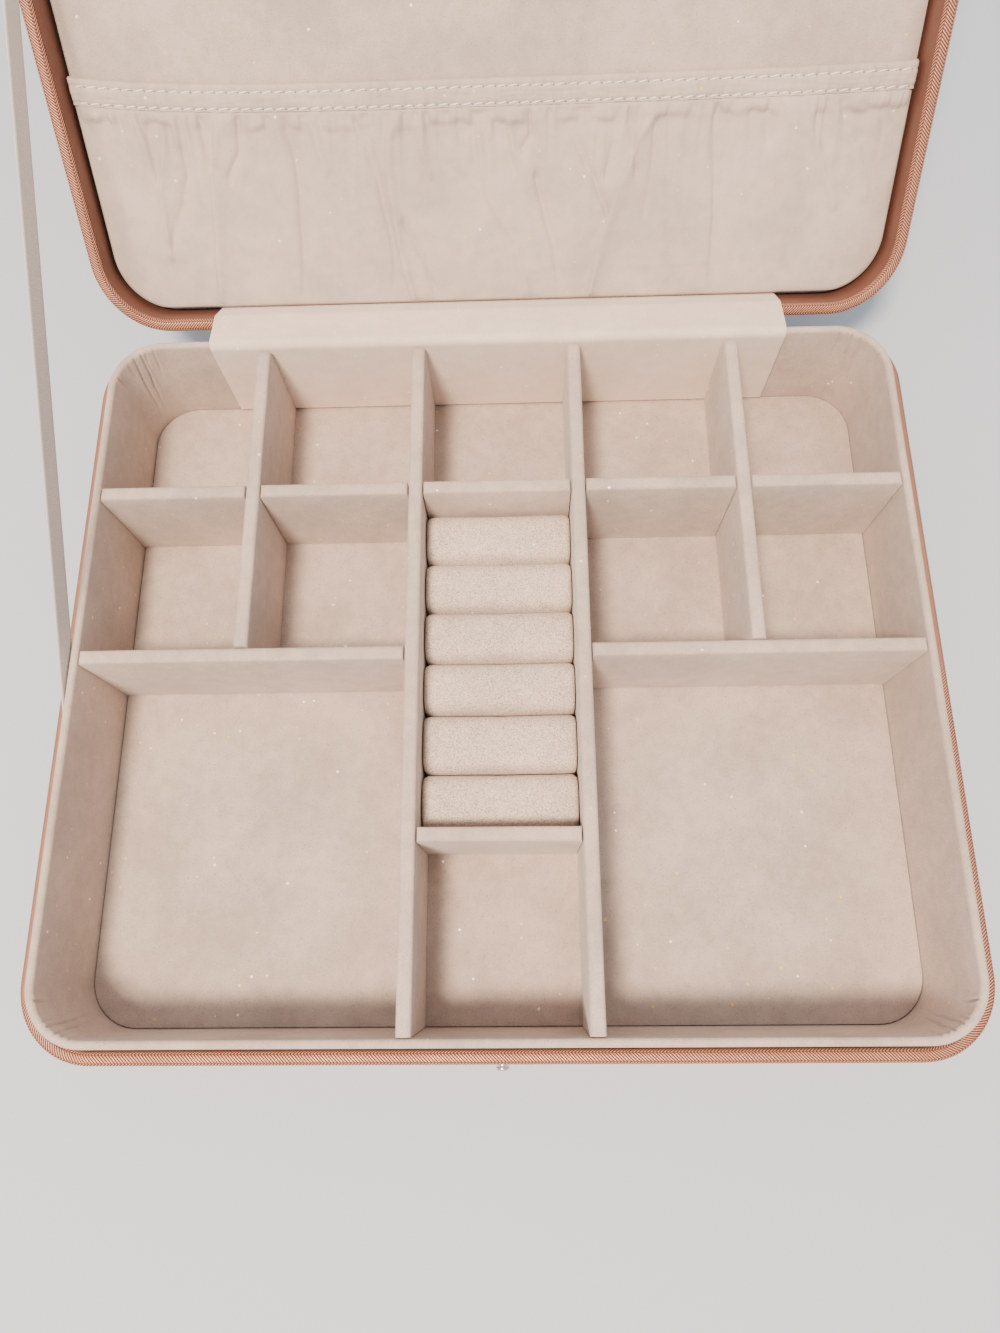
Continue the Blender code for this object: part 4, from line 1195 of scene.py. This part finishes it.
def bandFront(across, x):
    # How far the band's front stands off its back, at a height within it
    values = bandValues
    share = min(max(across / values["height"], 0), 1)
    front = values["thickness"] * (0.84 + 0.16 * math.sin(math.pi * share) ** 0.5)
    for row in (values["lowRow"], values["highRow"]):
        front -= values["pull"] * math.exp(-((across - row) / values["rowHalf"]) ** 2)
    fine = ripple((x, across * 0.4, 0), values["rucheFine"], 4.0)
    ruche = ripple((x, across * 0.25, 0), values["rucheSize"], 3.0) + 0.6 * fine
    tuck = ripple((x * 0.12, across, 0), values["tuckSize"], 5.0)
    middle = (values["lowRow"] + values["highRow"]) / 2
    between = math.exp(-((across - middle) / values["tuckBand"]) ** 2)
    return front + values["ruche"] * ruche + values["tuck"] * tuck * between


def bandPlace(x, across, off):
    # A point on the band: across up it from its lower edge, off above the pad
    seat = caseShape["seat"]
    y = padValues["depth"] / 2 - pocketValues["height"] - seat - mouthRise(x) - across
    y += bandValues["wander"] * ripple((x, 0, 0), bandValues["wanderSize"], 6.0)
    return Vector((x, y, padFace(x, y) - seat - off))


def makePocketBand():
    values = bandValues
    half = padValues["width"] / 2 - pocketValues["edge"]
    height, steps = values["height"], values["frontSteps"]
    # Round the sleeve: up the back, over the fold, down the front
    girth = [(0.0, 0.0), (height - values["fold"], 0.0)]
    girth += [(height * (1 - k / steps), 1.0) for k in range(steps + 1)]
    count = len(girth)

    def place(along, around):
        x = 2 * half * along / padValues["width"] - half
        k = min(round(around / height * count), count)
        across, face = girth[k % count]
        if face:
            # Rounded over at the fold, and run on into the pocket's cloth at the seam
            fromFold = min((height - across) / values["foldRound"], 1)
            roundEnd = math.sqrt(max(1 - (1 - fromFold) ** 2, 0.0))
            return bandPlace(x, across, bandFront(across, x) * (0.35 + 0.65 * roundEnd))
        return bandPlace(x, across, 0)

    bm = strip(padValues["width"], height, values["columns"], count, place)
    bmesh.ops.remove_doubles(bm, verts=bm.verts, dist=0.004 * mm)
    bmesh.ops.edgeloop_fill(bm, edges=openEdges(bm))
    closeShell(bm)
    return makePiece("pocketBand", bm, "pocketVelvet", "lid", ["pocket_band"], padPlace,
                     sharp=80)


def addStitch(bm, middle, along, out, length, radius):
    # One short raised stitch, a stretched ball with its ends dipped into the cloth
    side = out.cross(along).normalized()
    turn = Matrix((along * length / 2, side * radius, out * radius)).transposed().to_4x4()
    bmesh.ops.create_icosphere(bm, subdivisions=2, radius=1, matrix=Matrix.Translation(middle) @ turn)


def makeBandStitches():
    values = {
        "pitch": 3.25 * mm,
        "length": 2.6 * mm,
        "radius": 0.19 * mm,
        "slant": 0.2,
        "proud": 0.14 * mm,
        "stray": 0.3 * mm,
        "endGap": 1.6 * mm,
        "holeShadeLength": 0.5 * mm,
        "holeShadeRadius": 0.22 * mm,
    }
    half = padValues["width"] / 2 - values["endGap"]
    threads = bmesh.new()
    holeShades = bmesh.new()
    count = round(2 * half / values["pitch"])
    out = Vector((0, 0, -1))
    for row in (bandValues["lowRow"], bandValues["highRow"]):
        for k in range(count):
            x = -half + (k + 0.5) * 2 * half / count
            x += values["stray"] * ripple((k * 1.7, row * 900, 0), 1.0)
            first = bandPlace(x - 0.5 * mm, row, bandFront(row, x))
            second = bandPlace(x + 0.5 * mm, row, bandFront(row, x))
            along = (second - first).normalized()
            along = (along + Vector((0, -values["slant"], 0))).normalized()
            middle = (first + second) / 2 + out * values["proud"]
            addStitch(threads, middle, along, out, values["length"], values["radius"])
            # Painted shade of the needle's hole: a small dark ball at the stitch's low end
            side = x + values["length"] / 2 + values["holeShadeRadius"]
            holeShadeMiddle = bandPlace(side, row - 0.1 * mm, bandFront(row, side))
            addStitch(holeShades, holeShadeMiddle, along, out, values["holeShadeLength"], values["holeShadeRadius"])
    for bm in (threads, holeShades):
        closeShell(bm)
    makePiece("bandStitches", threads, "paleThread", "lid", (), padPlace)
    makePiece("paintedHoleShades", holeShades, "needleHole", "lid", (), padPlace)


# Hinge flap, hinge strap and stay ribbon

def lidPoint(y, z):
    # A point of the closed lid's frame, where the open lid has it, as (y, z)
    place = lidMatrix @ Vector((0, y, z))
    return place.y, place.z


hingeValues = {
    "flap": 0.7 * mm,
    "strap": 0.8 * mm,
    "strapFold": 0.4 * mm,
    "strapTop": 11 * mm,
    "strapBend": 2 * mm,
    "rounding": 0.2 * mm,
    "lidTuck": 9.5 * mm,
    # The flap's slack lies in soft waves, up and down and back and forth
    "wave": 0.10 * mm,
    "waveSize": 19 * mm,
    "sway": 0.06 * mm,
    "swaySize": 23 * mm,
    "cut": 0.12 * mm,
    "cutSize": 6 * mm,
    # The shares of the flap's length where it starts and ends to follow the lid
    "bendFrom": 0.42,
    "bendTo": 0.74,
}


def flapPath():
    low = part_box("hinge_flap")[0]
    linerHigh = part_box("base_liner")[1]
    seat = caseShape["seat"]
    half = hingeValues["flap"] / 2
    lipHalf = linerValues["thickness"] / 2
    wallY = linerHigh.y - 2 * lipHalf
    face = wallY - seat - half
    lip = Vector((wallY + lipHalf, linerHigh.z - lipHalf))
    lipReach = lipHalf + seat + half
    rimRadius = caseShape["rimRadius"]
    rim = Vector(lidPoint(rimRadius - caseShape["wall"] - hingeBackset, rimRadius))
    rimReach = rimRadius + seat + half
    span = rim - lip
    leave = math.degrees(math.atan2(span.y, span.x) + math.acos((lipReach - rimReach) / span.length))
    openDegrees = math.degrees(openAngle)
    path = [(face, low.z), (face, lip.y - lipHalf)]
    path += arc(lip, lipReach, 180, leave, 14)
    path += arc(rim, rimReach, leave, 180 - openDegrees, 8)
    wall = -hingeBackset - caseShape["wall"] - seat - half
    path += [lidPoint(wall, rimRadius + hingeValues["lidTuck"])]
    return [(0, y, z) for y, z in path]


def makeTape(name, node, finish, bm, thickness, rounding=0.0):
    piece = makePiece(name, bm, finish, "", [node], sharp=60)
    thicken(piece, thickness, rounding)
    return piece


def makeHingeFlap():
    values = hingeValues
    low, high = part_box("hinge_flap")
    width = high.x - low.x
    walk, length = pathWalker(flapPath())

    def place(along, across):
        point = walk(along)
        point.x = across - width / 2
        slack = ease(along / (0.4 * length)) * ease((length - along) / (0.3 * length))
        soft = ripple((point.x, along * 0.5, 0), values["waveSize"], 1.0)
        point.z += values["wave"] * soft * slack
        point.y += values["sway"] * ripple((point.x, 0, 0), values["swaySize"], 2.0) * slack
        # The free edges are cut by hand
        nearEdge = abs(2 * across / width - 1) ** 8
        point.x += values["cut"] * ripple((0, along, 0), values["cutSize"], 3.0) * nearEdge
        return point

    bm = strip(length, width, 80, 90, place)
    piece = makeTape("hingeFlap", "hinge_flap", "flapVelvet", bm,
                     values["flap"], values["rounding"])
    start = Vector(walk(values["bendFrom"] * length))
    end = Vector(walk(values["bendTo"] * length))
    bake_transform(piece)
    return piece


def makeHingeStrap():
    low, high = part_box("hinge_strap")
    width = high.x - low.x
    thickness = hingeValues["strap"]
    seat = caseShape["seat"]
    face = caseShape["depth"] / 2 + seat + thickness / 2
    fold = hingeValues["strapFold"] + thickness / 2
    openDegrees = math.degrees(openAngle)
    path = [(face, low.z), (face, hingePoint.z - thickness)]
    path += arc((hingePoint.y, hingePoint.z), fold, 180, 180 - openDegrees, 10)
    path += [lidPoint(-fold, thickness), lidPoint(-fold, hingeValues["strapTop"])]
    walk, length = pathWalker([(0, y, z) for y, z in path])

    def place(along, across):
        point = walk(along)
        point.x = across - width / 2
        return point

    bm = strip(length, width, 80, 60, place)
    piece = makeTape("hingeStrap", "hinge_strap", "copperBraid", bm,
                     thickness, hingeValues["rounding"])
    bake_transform(piece)
    return piece


ribbonValues = {
    "width": 7.5 * mm,
    "thickness": 0.3 * mm,
    "baseReach": 122 * mm,
    "lidReach": 108 * mm,
    "tuck": 18 * mm,
}


def makeStayRibbon():
    values = ribbonValues
    nodeLow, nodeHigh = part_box("stay_ribbon")
    low = Vector((0, hingePoint.y - values["baseReach"], caseShape["rimTop"]))
    high = Vector((0, *lidPoint(-values["lidReach"], 0)))
    along = (high - low).normalized()
    across = Vector((0, -along.z, along.y))
    first = low - along * values["tuck"]
    length = (high - low).length + 2 * values["tuck"]
    middle = (nodeLow.x + nodeHigh.x) / 2

    def place(distance, side):
        point = first + along * distance + across * (side - values["width"] / 2)
        point.x = middle
        return point

    bm = strip(length, values["width"], 120, 6, place)
    piece = makeTape("stayRibbon", "stay_ribbon", "ribbonTape", bm, values["thickness"])
    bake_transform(piece)
    return piece


# Closure tab and its press stud

tabLow, tabHigh = lidBox("closure_tab")
tabValues = {
    "thickness": 1.6 * mm,
    "tip": 8 * mm,
    "bend": 8 * mm,
    "edge": 0.3 * mm,
    "stitchInset": 1.8 * mm,
    "stitchTop": 1 * mm,
    "stitchAhead": 0.2 * mm,
    "stitchProud": 0.03 * mm,
    "stitchPitch": 2.4 * mm,
    "stitchLength": 1.7 * mm,
    "stitchRadius": 0.15 * mm,
    "slice": 1.2 * mm,
}


def wrapByBox(bm, first, second):
    # The pressed pattern laid straight on two axes of a flat piece
    wrap = bm.loops.layers.uv.new("wrap")
    for face in bm.faces:
        for loop in face.loops:
            loop[wrap].uv = (loop.vert.co[first], loop.vert.co[second])


def makeTabRoot():
    low, high = lidBox("tab_root")
    bm = newBar(high - low, (low + high) / 2)
    outer = [edge for edge in bm.edges
             if isBelow(edge, 1, low.y + hair) and not isBelow(edge, 2, low.z + hair)]
    roundSelected(bm, outer, tabValues["edge"], 3)
    wrapByBox(bm, 0, 2)
    closeShell(bm)
    return makePiece("tabRoot", bm, "copperBraid", "lid", ["tab_root"], lidMatrix)


def tabStandOff(drop):
    # How far the tab's face stands out from its root, by how far down it is
    out = tabHigh.y - tabLow.y - tabValues["thickness"]
    return out * ease(drop / tabValues["bend"])


def makeClosureTab():
    low, high = tabLow, tabHigh
    thickness = tabValues["thickness"]
    middle = ((low.x + high.x) / 2, high.y - thickness / 2, (low.z + high.z) / 2)
    bm = newBar((high.x - low.x, thickness, high.z - low.z), middle)
    tip = [edge for edge in bm.edges if isBelow(edge, 2, low.z + hair) and edgeSpan(edge, 0) < hair]
    roundSelected(bm, tip, tabValues["tip"], 12)
    outline = [edge for edge in bm.edges if isSharp(edge) and not isAbove(edge, 2, high.z - hair)]
    roundSelected(bm, outline, tabValues["edge"], 3)
    sliceAcross(bm, low, high, 2, tabValues["slice"])
    wrapByBox(bm, 0, 2)
    for vert in bm.verts:
        vert.co.y -= tabStandOff(high.z - vert.co.z)
    closeShell(bm)
    return makePiece("closureTab", bm, "copperBraid", "tab", ["closure_tab"], lidMatrix)


def makeTabStitches():
    # A row of stitches inside the tab's edge, on the face that shows when the box is shut
    values = tabValues
    half = (tabHigh.x - tabLow.x) / 2 - values["stitchInset"]
    bottom = tabLow.z + values["stitchInset"]
    tip = values["tip"] - values["stitchInset"]
    outline = [(-half, 0, tabHigh.z - values["stitchTop"]), (-half, 0, bottom + tip)]
    outline += [(x, 0, z) for x, z in arc((-half + tip, bottom + tip), tip, 180, 270, 8)]
    outline += [(x, 0, z) for x, z in arc((half - tip, bottom + tip), tip, 270, 360, 8)]
    outline += [(half, 0, tabHigh.z - values["stitchTop"])]
    walk, length = pathWalker(outline)
    count = round(length / values["stitchPitch"])
    bm = bmesh.new()
    for k in range(count):
        middle = walk((k + 0.5) * length / count)
        ahead = walk((k + 0.5) * length / count + values["stitchAhead"])
        face = tabHigh.y - values["thickness"]
        for point in (middle, ahead):
            point.y = face - tabStandOff(tabHigh.z - point.z) - values["stitchProud"]
        along = (ahead - middle).normalized()
        out = (Vector((0, -1, 0)) - along * along.dot(Vector((0, -1, 0)))).normalized()
        addStitch(bm, middle, along, out, values["stitchLength"], values["stitchRadius"])
    closeShell(bm)
    return makePiece("tabStitches", bm, "copperThread", "tab", (), lidMatrix)


def spun(profile):
    # A closed profile of (radius, height) turned about Z
    bm = bmesh.new()
    verts = [bm.verts.new((radius, 0, height)) for radius, height in profile]
    edges = [bm.edges.new(pair) for pair in zip(verts, verts[1:])]
    if profile[0][0] > 0:
        edges.append(bm.edges.new((verts[-1], verts[0])))
    bmesh.ops.spin(bm, geom=verts + edges, cent=(0, 0, 0), axis=(0, 0, 1), angle=math.tau,
                   steps=48, use_merge=True)
    bmesh.ops.remove_doubles(bm, verts=bm.verts, dist=weld)
    closeShell(bm)
    return bm


def makePlated(name, node, body, profile, middle, frameMatrix):
    # A turned metal piece, with its axis square to the front wall
    place = frameMatrix @ Matrix.Translation(middle) @ Matrix.Rotation(math.radians(90), 4, "X")
    return makePiece(name, spun(profile), "nickelPlate", body, [node], place, sharp=35)


def makeSnapStud():
    low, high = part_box("snap_stud")
    faceY = -caseShape["depth"] / 2
    reach = faceY - low.y
    inner = faceY - high.y
    seat = caseShape["seat"]
    profile = [(0, reach)]
    profile += arc((1.15 * mm, reach - 0.55 * mm), 0.55 * mm, 90, 0, 5)
    profile += arc((1.15 * mm, reach - 0.65 * mm), 0.55 * mm, 0, -60, 4)
    profile += [(1.2 * mm, reach - 1.25 * mm), (1.2 * mm, seat + 0.55 * mm)]
    profile += [(1.6 * mm, seat + 0.42 * mm), (3.3 * mm, seat + 0.32 * mm)]
    profile += arc((3.6 * mm, seat + 0.16 * mm), 0.16 * mm, 60, -90, 4)
    profile += [(1.2 * mm, seat), (1.2 * mm, inner + seat), (2.0 * mm, inner + seat)]
    profile += [(1.7 * mm, inner), (0, inner)]
    middle = (0, faceY, (low.z + high.z) / 2)
    return makePlated("snapStud", "snap_stud", "base", profile, middle, Matrix())


def makeSnapCap():
    low, high = lidBox("snap_cap")
    radius = (high.x - low.x) / 2
    height = 1.3 * mm
    base = 0.35 * mm
    foot = height - (high.y - low.y)
    profile = [(0, height)]
    for k in range(1, 9):
        turn = math.radians(90 * k / 9)
        profile.append(((radius - 0.2 * mm) * math.sin(turn), base + (height - base) * math.cos(turn)))
    profile += arc((radius - 0.25 * mm, 0.25 * mm), 0.25 * mm, 40, -90, 5)
    profile += [(1.2 * mm, 0), (1.2 * mm, foot + 0.3 * mm), (1.6 * mm, foot + 0.3 * mm)]
    profile += [(1.6 * mm, foot), (0, foot)]
    middle = (0, low.y + height, (low.z + high.z) / 2)
    return makePlated("snapCap", "snap_cap", "tab", profile, middle, lidMatrix)


def makeSnapSocket():
    low, high = lidBox("snap_socket")
    radius = (high.x - low.x) / 2
    deep = high.y - low.y
    bore = 2.1 * mm
    profile = [(bore, 0.25 * mm)]
    profile += arc((bore + 0.25 * mm, 0.25 * mm), 0.25 * mm, 180, 270, 3)[1:]
    profile += arc((radius - 0.4 * mm, 0.4 * mm), 0.4 * mm, 270, 360, 4)
    profile += [(radius, deep), (1.5 * mm, deep), (1.5 * mm, deep - 0.4 * mm), (bore, deep - 0.4 * mm)]
    middle = (0, high.y, (low.z + high.z) / 2)
    return makePlated("snapSocket", "snap_socket", "tab", profile, middle, lidMatrix)


# Carried-over parts that the covers and linings hide

hiddenFinishes = {
    "base_board": "greyBoard",
    "lid_board": "greyBoard",
    "lid_pad_board": "greyBoard",
    "bottom_cover": "backingPaper",
    "stud_washer": "nickelPlate",
    "pocket_elastic": "elasticTape",
}


def dressHiddenParts():
    for name, node in frame["nodes"].items():
        finish = finishes[hiddenFinishes.get(name, "trayVelvet")]
        node.data.materials.clear()
        node.data.materials.append(finish)


# Floor and light

def makeStage():
    bm = bmesh.new()
    bmesh.ops.create_grid(bm, x_segments=1, y_segments=1, size=2.5)
    mesh = bpy.data.meshes.new("floor")
    bm.to_mesh(mesh)
    bm.free()
    mesh.materials.append(newMaterial("paleFloor", (0.53, 0.58, 0.64), 0.9)[0])
    floor = bpy.data.objects.new("floor", mesh)
    bpy.context.scene.collection.objects.link(floor)


lightValues = {
    "place": (-0.22, -0.38, 1.10),
    "aim": (0, 0.02, 0.02),
    "size": 0.20,
    "power": 30,
    "colour": (1.0, 0.83, 0.66),
    "sky": (0.94, 0.97, 1.0, 1),
    "skyStrength": 1.05,
}


def makeLight():
    values = lightValues
    world = bpy.data.worlds.new("studio")
    bpy.context.scene.world = world
    world.use_nodes = True
    back = world.node_tree.nodes["Background"]
    back.inputs["Color"].default_value = values["sky"]
    back.inputs["Strength"].default_value = values["skyStrength"]
    light = bpy.data.lights.new("overhead", "AREA")
    light.shape = "RECTANGLE"
    light.size = light.size_y = values["size"]
    light.energy = values["power"]
    light.color = values["colour"]
    made = bpy.data.objects.new("overhead", light)
    bpy.context.scene.collection.objects.link(made)
    made.location = values["place"]
    aim = Vector(values["aim"]) - Vector(values["place"])
    made.rotation_euler = aim.to_track_quat("-Z", "Y").to_euler()


print("case and tray")
makeCaseCover()
makeTray()
print("ring rolls")
for rollNumber in range(1, 7):
    makeRingRoll(rollNumber)
print("lid")
makeLidCover()
makeLidBand()
makeLidPad()
print("pocket")
makePocketBand()
makePocket()
makeBandStitches()
print("hinge and stay")
makeHingeFlap()
makeHingeStrap()
makeStayRibbon()
print("closure")
makeTabRoot()
makeClosureTab()
makeTabStitches()
makeSnapStud()
makeSnapCap()
makeSnapSocket()
dressHiddenParts()
makeStage()
makeLight()

print("done")
